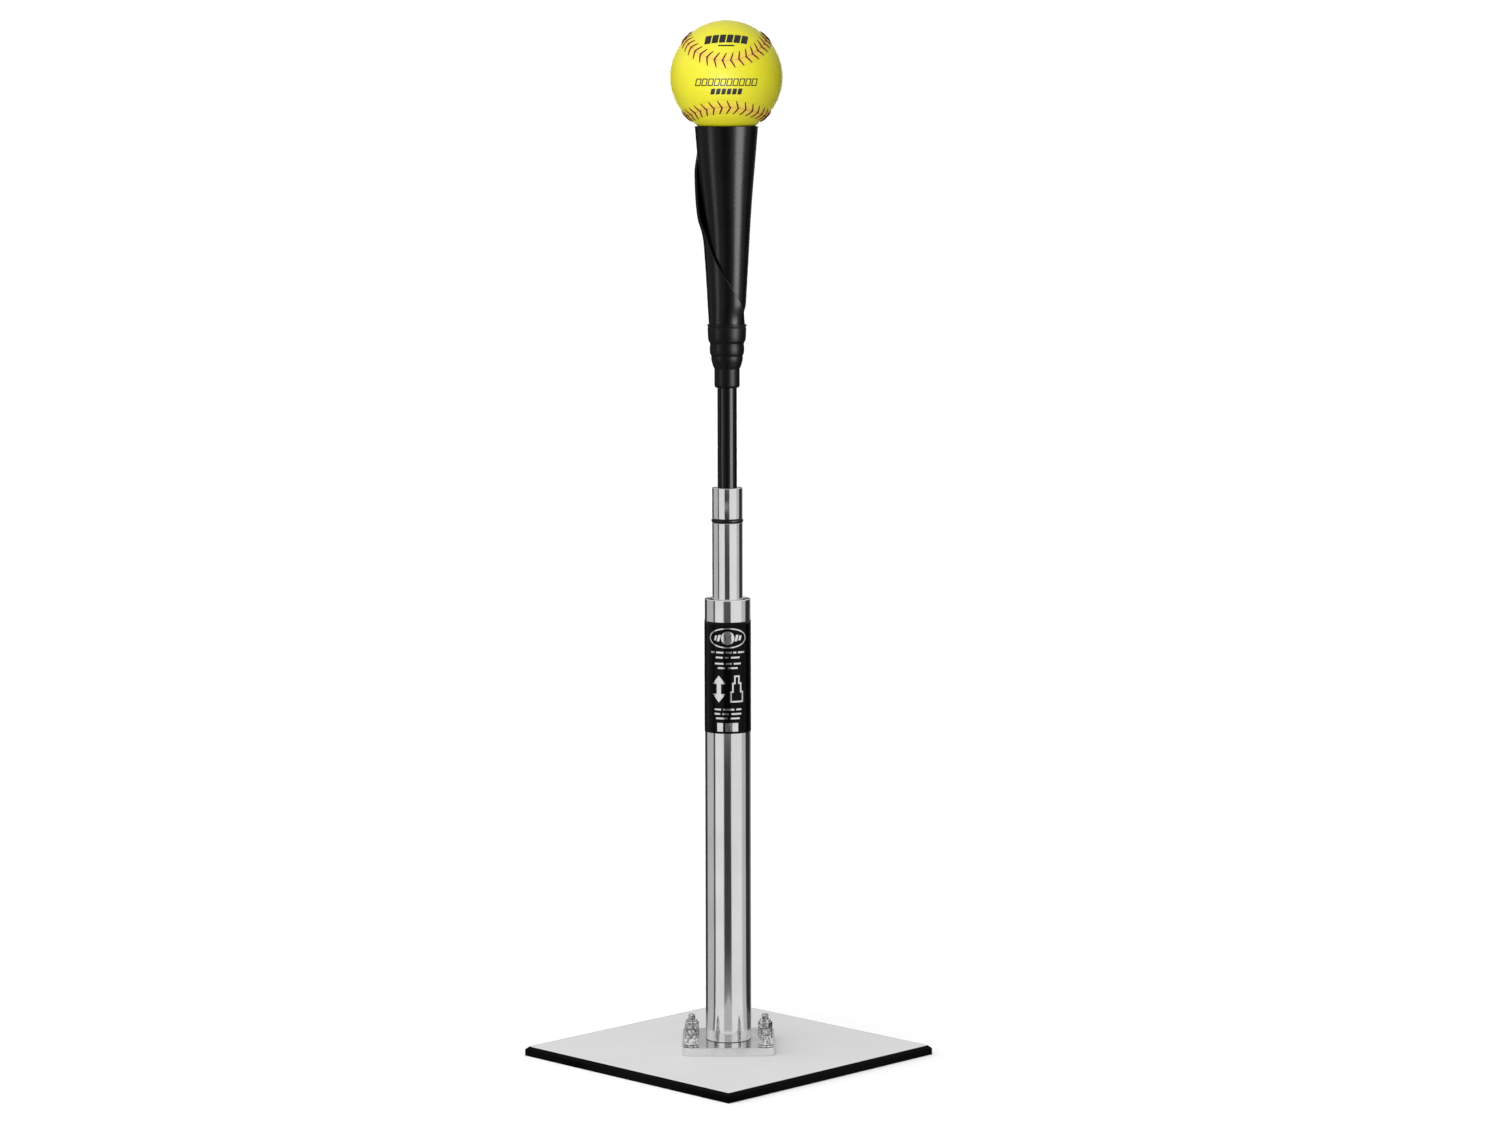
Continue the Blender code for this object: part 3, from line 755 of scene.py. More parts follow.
def nut_outline(angle, radii, heights):
    """The outline of a lock nut at an angle: a hexagon with a chamfered crown and a round collar."""
    flat_radius, bore, collar = radii
    bottom, crown, top = heights
    sixth = math.pi / 3
    from_flat = (angle + sixth / 2) % sixth - sixth / 2
    side = flat_radius / math.cos(from_flat)
    chamfer = math.tan(math.radians(30))
    trim = (side - flat_radius * 0.97) * chamfer
    foot = (side - flat_radius * 0.99) * chamfer
    corner = 0.12 * MM
    return [
        (bore + 0.4 * MM, bottom),
        (flat_radius * 0.97, bottom),
        (side - corner, bottom + foot * 0.8),
        (side, bottom + foot + corner),
        (side, crown - trim - corner),
        (side - corner, crown - trim),
        (flat_radius * 0.95, crown),
        (collar + 0.25 * MM, crown + 0.05 * MM),
        (collar, crown + 0.35 * MM),
        (collar, top - 1.0 * MM),
        (collar - 0.25 * MM, top - 0.45 * MM),
        (collar - 0.8 * MM, top - 0.05 * MM),
        (collar - 1.2 * MM, top),
        (bore + 0.3 * MM, top),
        (bore, top - 0.3 * MM),
        (bore, bottom + 0.4 * MM),
    ]


def bolt_outline(radius, bottom, top, head_radius, pitch):
    """A countersunk bolt's outline up its outside, with the ridges of its thread."""
    root = radius - pitch * 0.5
    rim = 0.3 * MM
    neck = bottom + head_radius - radius + rim
    points = [(0, bottom), (head_radius, bottom), (head_radius, bottom + rim), (radius, neck)]
    height = neck + 2 * MM
    while height < top - pitch:
        for reach, part in ((radius, 0), (radius, 0.12), (root, 0.45), (root, 0.6)):
            points.append((reach, height + part * pitch))
        height += pitch
    return points + [(root, top - rim), (root - rim, top), (0, top)]


class TEE_OT_flange(bpy.types.Operator):
    """Make the flange and the nuts, washers and bolts that hold it"""

    bl_idname = "tee.flange"
    bl_label = "Flange"

    def execute(self, context):
        metal = context.scene.tee_metal
        flange = softened_copy("stem_flange", "flange", flange_finish(), metal.edge_round)
        stand_for(flange, "base", "polished_steel", "stem_flange")
        low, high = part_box("flange_nut_1")
        centre = (low + high) / 2
        spacing = 2 * centre.to_2d().length / math.sqrt(2)
        nut_radii = (5.55 * MM, 3.4 * MM, 5.0 * MM)  # of its flats, its bore and its collar
        nut_heights = (low.z, low.z + 5.8 * MM, high.z)
        nut = turned(lambda angle: nut_outline(angle, nut_radii, nut_heights), 96)
        low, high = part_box("flange_washer_1")
        washer_bore, bolt_radius = 3.5 * MM, 3.15 * MM
        washer_line = tube_outline(washer_bore, (high.x - low.x) / 2, low.z, high.z, 0.3 * MM)
        washer = turned(washer_line, 64)
        low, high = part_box("flange_bolt_1")
        head_radius = (high.x - low.x) / 2
        bolt_line = bolt_outline(bolt_radius, low.z, high.z, head_radius, metal.thread_pitch)
        bolt = turned(bolt_line, 48, closed=False)
        zinc = zinc_finish()
        tree = fastener_tree("corner_fasteners")
        for kind, mesh in (("nut", nut), ("washer", washer), ("bolt", bolt)):
            source = add_piece(f"{kind}_source", mesh, zinc)
            values = {"Fastener": source, "Spacing": spacing, "Material": zinc}
            piece = run_tree(f"flange_{kind}s", tree, values)
            bpy.data.objects.remove(source)
            names = [f"flange_{kind}_{number}" for number in range(1, 5)]
            stand_for(piece, "base", "zinc_fastener", *names)
        return {"FINISHED"}


class TEE_OT_stem(bpy.types.Operator):
    """Make the outer and the middle tube, their bushes and the stop ring"""

    bl_idname = "tee.stem"
    bl_label = "Stem"

    def execute(self, context):
        steel = steel_finish()
        nylon = nylon_finish()
        add_tube("outer_tube", "stem_outer", steel, 0.7 * MM, "base", "polished_steel")
        self.add_middle(steel)
        add_tube("outer_tube_bush", "outer_bush", nylon, 0.5 * MM, "base", "black_nylon")
        add_tube("middle_tube_bush", "middle_bush", nylon, 0.5 * MM, "middle_stage", "black_nylon")
        self.add_stop_ring(context)
        return {"FINISHED"}

    def add_middle(self, steel):
        radius, bottom, top = node_sizes("middle_tube")
        inner = bore_radius("middle_tube")
        _, ring_bottom, ring_top = node_sizes("stop_ring")
        play = 0.2 * MM
        groove = bore_radius("stop_ring") - play
        outline = [
            (inner, bottom),
            (radius, bottom),
            (radius, ring_bottom - play),
            (groove, ring_bottom - play),
            (groove, ring_top + play),
            (radius, ring_top + play),
            (radius, top),
            (inner, top),
        ]
        line = rounded(outline, 0.5 * MM)
        piece = add_piece("stem_middle", turned(line), steel)
        stand_for(piece, "middle_stage", "polished_steel", "middle_tube")

    def add_stop_ring(self, context):
        rubber = rubber_finish("ring_rubber", context.scene.tee_rubber.black, (0.3, 0.42))
        radius, bottom, top = node_sizes("stop_ring")
        inner = bore_radius("stop_ring")
        half_width, half_height = (radius - inner) / 2, (top - bottom) / 2
        line = ellipse((radius + inner) / 2, (bottom + top) / 2, half_width, half_height, 20)
        piece = add_piece("stem_stop_ring", turned(line), rubber)
        stand_for(piece, "middle_stage", "cone_rubber", "stop_ring")


class TEE_OT_label(bpy.types.Operator):
    """Wrap the printed vinyl label round the outer tube"""

    bl_idname = "tee.label"
    bl_label = "Label"

    def execute(self, context):
        settings = context.scene.tee_label
        radius, bottom, top = node_sizes("label")
        width = 2 * math.pi * radius
        outlines = label_marks(top - bottom)
        border = bar(0, (top - bottom) / 2, width, top - bottom)
        mesh = bmesh.new()
        for index, lines in enumerate(([border] + outlines, outlines)):
            data = filled(f"label_part_{index}", lines)
            for polygon in data.polygons:
                polygon.material_index = index
            mesh.from_mesh(data)
        strip = 0.9 * MM  # cut into upright strips, so that the label can bend round the tube
        for step in range(1, int(width / strip)):
            cut = {"plane_co": (-width / 2 + step * strip, 0, 0), "plane_no": (1, 0, 0)}
            everything = mesh.verts[:] + mesh.edges[:] + mesh.faces[:]
            bmesh.ops.bisect_plane(mesh, geom=everything, dist=0.01 * MICRON, **cut)
        for vertex in mesh.verts:
            angle = vertex.co.x / radius
            round_point = FRONT * math.cos(angle) + RIGHT * math.sin(angle)
            vertex.co = round_point * radius + UP * (bottom + vertex.co.y)
        bmesh.ops.remove_doubles(mesh, verts=mesh.verts, dist=2 * MICRON)
        for face in mesh.faces:
            if face.normal.dot(face.calc_center_median() * Vector((1, 1, 0))) < 0:
                face.normal_flip()
        piece = add_piece("label_wrap", mesh, vinyl_finish(settings.vinyl), 60)
        piece.data.materials.append(foil_finish(settings.ink))
        thicken(piece, radius - bore_radius("label"))
        stand_for(piece, "base", "label_vinyl", "label")
        return {"FINISHED"}


def filled(name, outlines):
    """A flat mesh inside closed outlines. An outline inside another one is a hole."""
    curve = bpy.data.curves.new(name, "CURVE")
    curve.dimensions = "2D"
    curve.fill_mode = "BOTH"
    for outline in outlines:
        spline = curve.splines.new("POLY")
        spline.points.add(len(outline) - 1)
        for point, (x, y) in zip(spline.points, outline):
            point.co = (x, y, 0, 1)
        spline.use_cyclic_u = True
    holder = bpy.data.objects.new(name, curve)
    bpy.context.scene.collection.objects.link(holder)
    data = evaluated_mesh(holder)
    bpy.data.objects.remove(holder)
    return data


def ellipse(x, y, half_width, half_height, steps=64):
    angles = [2 * math.pi * step / steps for step in range(steps)]
    return [(x + half_width * math.cos(a), y + half_height * math.sin(a)) for a in angles]


def bar(x, y, width, height, lean=0.0):
    """An upright bar, or one whose top leans to the right by a share of its height."""
    left, right, low, high = x - width / 2, x + width / 2, y - height / 2, y + height / 2
    shift = lean * height / 2
    return [(left - shift, low), (right - shift, low), (right + shift, high), (left + shift, high)]


def seam_arc(x, y, radius, side, weight):
    """A thick arc across a disc, bulging towards its middle, as a ball's seam is drawn."""
    bend, offset = radius * 0.95, radius * 1.35 * side
    half_turn, steps = 38, 24
    points = []
    for thickness, order in ((weight / 2, 1), (-weight / 2, -1)):
        line = []
        for step in range(steps + 1):
            angle = math.radians(-half_turn + 2 * half_turn * step / steps)
            reach = bend + thickness
            line.append((x + offset - side * reach * math.cos(angle), y + reach * math.sin(angle)))
        points += line[::order]
    return points


# Rows of small marks on the label: millimetres below its top, half width, and marks in each group
LABEL_ROWS = (
    (26.2, 16.0, (3, 5, 4, 2, 5)),
    (30.6, 11.0, (4, 2, 5)),
    (36.0, 12.0, (5, 3, 4)),
    (39.8, 9.0, (3, 4)),
    (76.2, 12.5, (4, 6, 3)),
    (80.1, 12.5, (3, 3, 5)),
    (84.0, 11.0, (5, 4)),
)


def label_marks(height):
    """The outlines of the label's generic marks, measured from its lower edge."""
    badge, picture_top, picture_foot = (height - distance * MM for distance in (13.6, 46.4, 70))
    marks = [ellipse(0, badge, 17.6 * MM, 8.9 * MM), ellipse(0, badge, 16.5 * MM, 7.8 * MM)]
    marks.append(ellipse(0, badge, 5.9 * MM, 5.9 * MM, 48))
    marks += [seam_arc(0, badge, 5.4 * MM, side, 0.8 * MM) for side in (-1, 1)]
    for x, tall in ((-7.9, 5.6), (-11.2, 4.2), (7.9, 5.6), (11.2, 4.2)):
        marks.append(bar(x * MM, badge, 2.3 * MM, tall * MM, 0.3))
    for distance, half_width, words in LABEL_ROWS:
        marks += word_row(height - distance * MM, half_width * MM, words)
    marks.append(height_arrow(-8.0 * MM, picture_top, picture_foot))
    marks += stem_pictogram(8.2 * MM, picture_top, picture_foot, 1.4 * MM)
    for x in (-6.9, 0.4, 6.6):
        marks.append(bar(x * MM, height - 91.8 * MM, 5.4 * MM, 7.6 * MM))
    return marks


def word_row(level, half_width, words):
    """Short bars in groups, across a row of a given half width."""
    cells = sum(words) + len(words) - 1
    pitch = 2 * half_width / cells
    marks, place = [], -half_width
    for count in words:
        marks.append(bar(place + count * pitch / 2, level, count * pitch * 0.96, 1.5 * MM))
        place += (count + 1) * pitch
    return marks


def height_arrow(x, top, bottom):
    """A double-headed upright arrow."""
    head, half, stem = 7.5 * MM, 6.2 * MM, 2.0 * MM
    right = [(stem, top - head), (half, top - head), (0, top), (-half, top - head), (-stem, top - head)]
    return [(x + across, y) for across, y in right + [(-a, top + bottom - y) for a, y in right]]


def stem_pictogram(x, top, bottom, weight):
    """An outlined picture of three tubes, each narrower than the one under it."""
    steps = ((6.2 * MM, 0.0), (4.4 * MM, 0.42), (2.6 * MM, 0.74))
    height = top - bottom
    line = [(-steps[0][0], bottom)]
    for index, (half, start) in enumerate(steps):
        end = steps[index + 1][1] if index < 2 else 1.0
        line += [(-half, bottom + start * height), (-half, bottom + end * height)]
    inner = [(across + weight, max(bottom + weight, y - weight)) for across, y in line]
    both = []
    for half in (line, inner):
        both.append([(x + a, y) for a, y in half] + [(x - a, y) for a, y in reversed(half)])
    return both


class TEE_OT_top(bpy.types.Operator):
    """Make the black top shaft and the stepped rubber sleeve on it"""

    bl_idname = "tee.top"
    bl_label = "Shaft and sleeve"

    def execute(self, context):
        add_tube("top_shaft", "stem_shaft", shaft_finish(), 0.5 * MM, "top_stage", "black_shaft")
        black = context.scene.tee_rubber.black
        rubber = rubber_finish("sleeve_rubber", black, (0.30, 0.40), specular=0.14)
        sleeve = add_piece("sleeve", turned(sleeve_outline()), rubber)
        stand_for(sleeve, None, "cone_rubber", "rubber_sleeve")
        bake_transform(sleeve)
        return {"FINISHED"}


def sleeve_outline():
    """The sleeve's (radius, height) outline: a neck and three bands with grooves between them.

    The frame's sleeve has plain steps, which are rounded here, as moulded rubber is.
    """
    neck = [(9.0, 589.7), (10.4, 590.2), (11.0, 592.0), (11.0, 606.4), (11.5, 607.4), (12.1, 608.4)]
    low_band = [(13.5, 613.4), (13.8, 615.6), (13.6, 617.0), (13.9, 618.2), (14.6, 619.2)]
    middle_band = [(15.0, 622.4), (14.9, 625.6), (14.6, 627.4), (14.8, 628.8), (16.0, 630.4)]
    top_band = [(16.5, 634.0), (16.8, 641.8), (16.5, 642.3), (16.5, 642.9), (17.1, 643.4), (17.1, 645.0)]
    inside = [(16.1, 645.0), (12.4, 616.0), (12.4, 614.0), (8.7, 605.0), (8.7, 589.7)]
    outline = neck + low_band + middle_band + top_band + inside
    return rounded([(radius * MM, height * MM) for radius, height in outline], 0.5 * MM, 3)


class TEE_OT_cone(bpy.types.Operator):
    """Roll the rubber sheet into the cone, with its loose outer edge"""

    bl_idname = "tee.cone"
    bl_label = "Rolled cone"

    def execute(self, context):
        rubber = context.scene.tee_rubber
        low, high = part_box("rolled_cone")
        values = {
            "Bottom": low.z,
            "Top": high.z,
            "Layer Step": rubber.sheet_thickness + rubber.layer_gap,
            "Inner Edge": rubber.inner_edge,
            "Climb": rubber.climb,
            "Rim Edge": rubber.edge_left,
            "Edge Sweep": rubber.edge_sweep,
            "Edge Lift": rubber.edge_lift,
            "Material": cone_finish(rubber),
        }
        piece = run_tree("cone", rolled_sheet_tree("rolled_sheet"), values, 60)
        thicken(piece, rubber.sheet_thickness).use_even_offset = True
        round_edges(piece, 0.4 * MM, segments=2, least=60, harden=False)
        stand_for(piece, "cone", "cone_rubber", "rolled_cone")
        return {"FINISHED"}


def rolled_sheet_tree(name):
    """A flat grid bent into a roll by its position along (x) and up (y) the sheet."""
    inputs = [
        ("Bottom", NUMBER, 0.616),
        ("Top", NUMBER, 0.8154),
        ("Layer Step", NUMBER, 0.0029),
        ("Inner Edge", NUMBER, 0.0),
        ("Climb", NUMBER, 1.4),
        ("Rim Edge", NUMBER, 0.0),
        ("Edge Sweep", NUMBER, 0.0),
        ("Edge Lift", NUMBER, 0.0),
        ("Material", MATERIAL, None),
    ]
    tree, field, out = new_group(name, "GeometryNodeTree", inputs, [("Geometry", GEOMETRY)])
    sheet = {"Size X": 1.0, "Size Y": 1.0, "Vertices X": 260, "Vertices Y": 90}
    grid = add_node(tree, "GeometryNodeMeshGrid", sheet)
    x, y, _ = parts_of(tree, tree.nodes.new("GeometryNodeInputPosition").outputs[0])
    along, up = x + 0.5, y + 0.5
    height = field["Bottom"] + up * (field["Top"] - field["Bottom"])
    bent = moved(tree, grid.outputs[0], rolled_point(field, along, height))
    put_out(tree, bent, field["Material"], out)
    return tree


def rolled_point(field, along, height):
    """The roll's outer surface: (x, y, z) at a place along the sheet and at a height."""
    # The cone widens from the sleeve's mouth to the rim, and is squeezed a little in the sleeve
    mouth, rim = 0.645, field["Top"]
    mouth_radius, flare, curve, squeeze = 0.0157, 0.00907, 0.00263, 0.13
    rise = ((height - mouth) / (rim - mouth)).at_least(0.0)
    squeezed = (mouth - height).at_least(0.0)
    cone_radius = mouth_radius + flare * rise + curve * rise * rise - squeeze * squeezed
    # The outer edge winds round below the rim, ever faster, and stops on the right
    sweep_end, furthest = 0.660, math.radians(85)
    swept = ((rim - height) / (rim - sweep_end)).at_least(0.0)
    edge = (field["Rim Edge"] + field["Edge Sweep"] * swept**2.2).at_most(furthest)
    angle = field["Inner Edge"] + along * (edge - field["Inner Edge"])
    # The sheet climbs onto its first layer after one turn
    climb_end = field["Inner Edge"] + 2 * math.pi
    climb = ((angle - climb_end + field["Climb"]) / field["Climb"]).smooth()
    # Low down the roll is doubled, and its first layer lies inside the cone's radius: by a whole
    # step in the sleeve, and by half a step above it
    doubled_top, sleeve_top = 0.725, 0.648
    doubled = 1.0 - ((height - doubled_top) / 0.075).smooth()
    uneven = ((height - sleeve_top) / 0.014).smooth()
    first = cone_radius - doubled * field["Layer Step"] * (1.0 - 0.5 * uneven)
    # The last 75 degrees stand off the layer under them, between two heights
    lift_start, lift_stop, lifted_turn = 0.712, 0.800, math.radians(75)
    loose = (1.0 - (edge - angle) / lifted_turn).at_least(0.0) ** 2.0
    low_end, high_end = (height - lift_start) / 0.025, (lift_stop - height) / 0.026
    lift = field["Edge Lift"] * low_end.smooth() * high_end.smooth()
    radius = first + field["Layer Step"] * climb + lift * loose
    # Above the sleeve the roll also shifts by half a step, away from its doubled side
    shift = doubled * uneven * field["Layer Step"] * 0.5
    middle = edge - (edge - climb_end + field["Climb"] * 0.5) * 0.5
    side = radius * angle.sine() - shift * middle.sine()
    ahead = radius * angle.cosine() - shift * middle.cosine()
    return side * RIGHT.x + ahead * FRONT.x, side * RIGHT.y + ahead * FRONT.y, height


def cone_finish(rubber):
    """Smooth satin rubber with fine grain and the faint lines of the rolling."""
    finish = Finish("cone_rubber", specular=0.16)
    grain = finish.grain(Scale=1300.0, Detail=4.0, Low=0.20, High=0.27)
    lines = finish.grain(Stretch=(1, 1, 0.03), Scale=260.0, Detail=3.0)
    clouds = finish.grain(Scale=30.0, Detail=3.0)
    scuffs = finish.scuffs(Stretch=(1, 1, 0.1), Scale=350.0, Amount=0.3)
    dark = finish.mix(clouds["Value"], shade(rubber.black, 0.8), shade(rubber.black, 1.2))
    colour = finish.mix(scuffs, dark, shade(rubber.black, 2.6))
    relief = grain["Height"] * 0.6 + lines["Height"] * 0.4
    return finish.surface(colour, grain["Value"] + clouds["Height"] * 0.08, relief, 0.25, 0.06 * MM)


class TEE_OT_ball(bpy.types.Operator):
    """Make the softball, its seam and its stitches"""

    bl_idname = "tee.ball"
    bl_label = "Softball"

    def execute(self, context):
        settings = context.scene.tee_ball
        low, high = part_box("softball")
        centre = (low + high) / 2
        seam = Seam((high.z - low.z) / 2, settings.waist, settings.tilt, centre)
        material = leather_finish(settings, seam)
        ball = add_piece("ball", seam.leather_mesh(settings), material, 180)
        stand_for(ball, "ball", "ball_leather", "softball")
        thread = thread_finish(settings)
        stitch = add_piece("stitch_source", stitch_mesh(settings, seam.radius), thread, 180)
        values = {
            "Stitch": stitch,
            "Count": seam.stitch_count(settings.stitch_pitch),
            "Wide": seam.wide,
            "Narrow": seam.narrow,
            "Rise": seam.rise,
            "Material": thread,
        }
        piece = run_tree("ball_stitches", stitch_tree("seam_stitches"), values, 180)
        bpy.data.objects.remove(stitch)
        seam.place(piece.data)
        stand_for(piece, "ball", "ball_leather")
        return {"FINISHED"}


class Seam:
    """The closed curve on a ball along which its two covers meet."""

    def __init__(self, radius, waist, tilt, centre):
        self.radius, self.centre = radius, centre
        self.wide = (radius + waist / 2) / 2
        self.narrow = (radius - waist / 2) / 2
        self.rise = 2 * math.sqrt(self.wide * self.narrow)
        forward = (FRONT * math.cos(tilt) - UP * math.sin(tilt)).normalized()
        upward = (UP * math.cos(tilt) + FRONT * math.sin(tilt)).normalized()
        across = upward.cross(forward)  # to the left of the front
        half = math.sqrt(0.5)
        self.axes = np.array([(upward - across) * half, (upward + across) * half, forward])

    def points(self, count):
        """Points along the seam, before it is turned to its place on the ball."""
        t = np.linspace(0, 2 * math.pi, count, endpoint=False)
        x = self.wide * np.cos(t) + self.narrow * np.cos(3 * t)
        y = self.wide * np.sin(t) - self.narrow * np.sin(3 * t)
        return np.stack([x, y, self.rise * np.sin(2 * t)], axis=1)

    def stitch_count(self, pitch):
        line = self.points(2000)
        total = np.linalg.norm(line - np.roll(line, 1, axis=0), axis=1).sum()
        return int(round(total / pitch))

    def place(self, data):
        """Turns a mesh from the seam's own axes to the ball's, and moves it to the ball's centre."""
        points = np.empty(len(data.vertices) * 3, np.float32)
        data.vertices.foreach_get("co", points)
        moved = points.reshape(-1, 3) @ self.axes + np.array(self.centre)
        data.vertices.foreach_set("co", moved.astype(np.float32).ravel())
        data.update()

    def leather_mesh(self, settings):
        """A fine sphere with a low welt along the seam, and the distance from the seam stored on it."""
        mesh = bmesh.new()
        bmesh.ops.create_icosphere(mesh, subdivisions=7, radius=self.radius)
        data = bpy.data.meshes.new("ball_leather")
        mesh.to_mesh(data)
        mesh.free()
        points = np.empty(len(data.vertices) * 3, np.float32)
        data.vertices.foreach_get("co", points)
        points = points.reshape(-1, 3).astype(float)
        line = self.points(1500)
        ahead = np.roll(line, -1, axis=0) - np.roll(line, 1, axis=0)
        sideways = np.cross(line, ahead)
        sideways /= np.linalg.norm(sideways, axis=1)[:, None]
        distance = np.empty(len(points))
        share = 4000  # points handled at a time
        for start in range(0, len(points), share):
            part = points[start : start + share]
            gaps = part[:, None, :] - line[None, :, :]
            nearest = (gaps**2).sum(axis=2).argmin(axis=1)
            offset = part - line[nearest]
            distance[start : start + share] = (offset * sideways[nearest]).sum(axis=1)
        near = np.abs(distance)
        relief = 0.2 * MM * np.exp(-((near / (3.2 * MM)) ** 2))  # the welt
        relief -= 0.55 * MM * np.exp(-((near / (0.7 * MM)) ** 2))  # the groove in its middle
        relief -= 0.18 * MM * np.exp(-(((near - settings.stitch_reach) / (1.0 * MM)) ** 2))  # the holes
        points *= (1 + relief / self.radius)[:, None]
        data.vertices.foreach_set("co", points.astype(np.float32).ravel())
        store = data.attributes.new("seam_distance", "FLOAT", "POINT")
        store.data.foreach_set("value", distance.astype(np.float32))
        self.place(data)
        return data


def stitch_mesh(settings, ball_radius):
    """One stitch: two legs of thread that meet in a point on the seam, and dive into their holes."""
    mesh = bmesh.new()
    sides, steps = 8, 8
    lead, reach, thread = settings.stitch_lead, settings.stitch_reach, settings.thread_radius
    for hand in (-1, 1):
        along = Vector((lead, hand * reach, 0)).normalized()
        across = Vector((-along.y, along.x, 0))
        rings = []
        for step in range(steps + 1):
            t = step / steps
            drop = (reach * t) ** 2 / (2 * ball_radius)  # the ball curves away from the seam
            arch = math.sin(math.pi * min(1.0, 0.18 + t * 0.9)) ** 0.6
            centre = Vector((lead * (t - 0.5), hand * reach * t, thread * (0.8 * arch - 0.45) - drop))
            size = thread * (1.0 - 0.35 * t**3)
            ring = []
            for side in range(sides):
                angle = 2 * math.pi * side / sides
                offset = across * size * math.cos(angle) + UP * size * math.sin(angle)
                ring.append(mesh.verts.new(centre + offset))
            rings.append(ring)
        for low, high in zip(rings, rings[1:]):
            for side in range(sides):
                after = (side + 1) % sides
                mesh.faces.new((low[side], low[after], high[after], high[side]))
        mesh.faces.new(rings[0])
        mesh.faces.new(rings[-1])
    bmesh.ops.recalc_face_normals(mesh, faces=mesh.faces)
    return mesh


def stitch_tree(name):
    """Stitches at even steps along the seam, each pointing along it and standing on the ball."""
    inputs = [
        ("Stitch", OBJECT, None),
        ("Count", WHOLE, 80),
        ("Wide", NUMBER, 0.034),
        ("Narrow", NUMBER, 0.014),
        ("Rise", NUMBER, 0.044),
        ("Material", MATERIAL, None),
    ]
    tree, field, out = new_group(name, "GeometryNodeTree", inputs, [("Geometry", GEOMETRY)])
    samples = 720
    line = add_node(tree, "GeometryNodeMeshLine", {"Count": samples})
    curve = add_node(tree, "GeometryNodeMeshToCurve", {0: line.outputs[0]})
    closed = add_node(tree, "GeometryNodeSetSplineCyclic", {"Geometry": curve.outputs[0], "Cyclic": True})
    index = Field(tree, tree.nodes.new("GeometryNodeInputIndex").outputs[0])
    t = index * (2 * math.pi / samples)
    x = field["Wide"] * t.cosine() + field["Narrow"] * (t * 3.0).cosine()
    y = field["Wide"] * t.sine() - field["Narrow"] * (t * 3.0).sine()
    z = field["Rise"] * (t * 2.0).sine()
    bent = moved(tree, closed.outputs[0], (x, y, z))
    even = add_node(tree, "GeometryNodeResampleCurve", {"Curve": bent, "Count": field["Count"]})
    tangent = tree.nodes.new("GeometryNodeInputTangent").outputs[0]
    outwards = tree.nodes.new("GeometryNodeInputPosition").outputs[0]
    facing = add_node(tree, "FunctionNodeAxesToRotation", {0: tangent, 1: outwards})
    facing.primary_axis = "X"
    facing.secondary_axis = "Z"
    source = add_node(tree, "GeometryNodeObjectInfo", {"Object": field["Stitch"]})
    inputs = {"Points": even.outputs[0], "Instance": source.outputs["Geometry"]}
    copies = add_node(tree, "GeometryNodeInstanceOnPoints", inputs)
    plug(tree, facing.outputs[0], copies.inputs["Rotation"])
    put_out(tree, copies.outputs[0], field["Material"], out)
    return tree


def box_distance(x, y, half_width, half_height, corner):
    """Signed distance from a rounded rectangle in the plane, as a Field."""
    dx = (x.absolute() - (half_width - corner)).at_least(0.0)
    dy = (y.absolute() - (half_height - corner)).at_least(0.0)
    return (dx * dx + dy * dy) ** 0.5 - corner


def inked(distance, blur=0.12 * MM):
    """1 inside a shape and 0 outside it, with a soft edge."""
    return (0.5 - distance / (2 * blur)).smooth()


def leather_finish(settings, seam):
    """Pebbled leather with its print, and painted shade in the seam and at the stitches' holes."""
    finish = Finish("ball_leather", specular=0.45)
    pebbles = finish.grain(Scale=700.0, Detail=3.0, Low=0.36, High=0.5)
    creases = finish.grain(Scale=160.0, Detail=4.0)
    clouds = finish.grain(Scale=20.0, Detail=2.0)
    near = finish.attribute("seam_distance").absolute()
    groove = 1.0 - (near / (0.9 * MM)).smooth()
    holes = 1.0 - ((near - settings.stitch_reach).absolute() / (0.9 * MM)).smooth()
    x, y, z = finish.coordinates(seam.centre)
    side, ahead = level_axes(x, y)
    front_only = (ahead / (10 * MM)).smooth()
    ink = ball_marks(side, z) * front_only
    leather = settings.leather
    base = finish.mix(clouds["Value"], shade(leather, 0.94), leather)
    worn = finish.mix(creases["Value"] * 0.25, base, shade(leather, 0.86))
    warm = (min(1.0, leather[0] * 1.08), 0.36, 0.04)  # the thread's dye bleeds into the leather
    tinted = finish.mix(1.0 - (near / (8 * MM)).smooth(), worn, warm)
    # painted shade: darker in the seam's groove and at the stitches' holes
    shaded = finish.mix((groove * 0.35 + holes * 0.12).at_most(1.0), tinted, (0.20, 0.13, 0.01))
    colour = finish.mix(ink, shaded, settings.ink)
    relief = pebbles["Height"] * 0.5 + creases["Height"] * 0.5 - groove * 1.5
    return finish.surface(colour, pebbles["Value"], relief, 0.35, 0.12 * MM)


def ball_marks(side, height):
    """The ball's generic print, as one mask: rows of slanted lozenges, some solid and some outlined."""
    arched = height - 32.4 * MM + side * side * 5.0
    top_row = lozenges(side, arched, 6, 6.2 * MM, 6.8 * MM, 5.3 * MM)
    dash = inked(box_distance(side, height - 26.4 * MM, 7 * MM, 0.6 * MM, 0.4 * MM))
    middle = height + 4.6 * MM
    outer = lozenges(side, middle, 10, 5.3 * MM, 6.4 * MM, 4.6 * MM)
    inner = lozenges(side, middle, 10, 5.3 * MM, 4.6 * MM, 2.8 * MM)
    low_row = lozenges(side, height + 12.4 * MM, 6, 4.6 * MM, 5.0 * MM, 3.5 * MM)
    return (top_row + dash + outer * (1.0 - inner) + low_row).at_most(1.0)


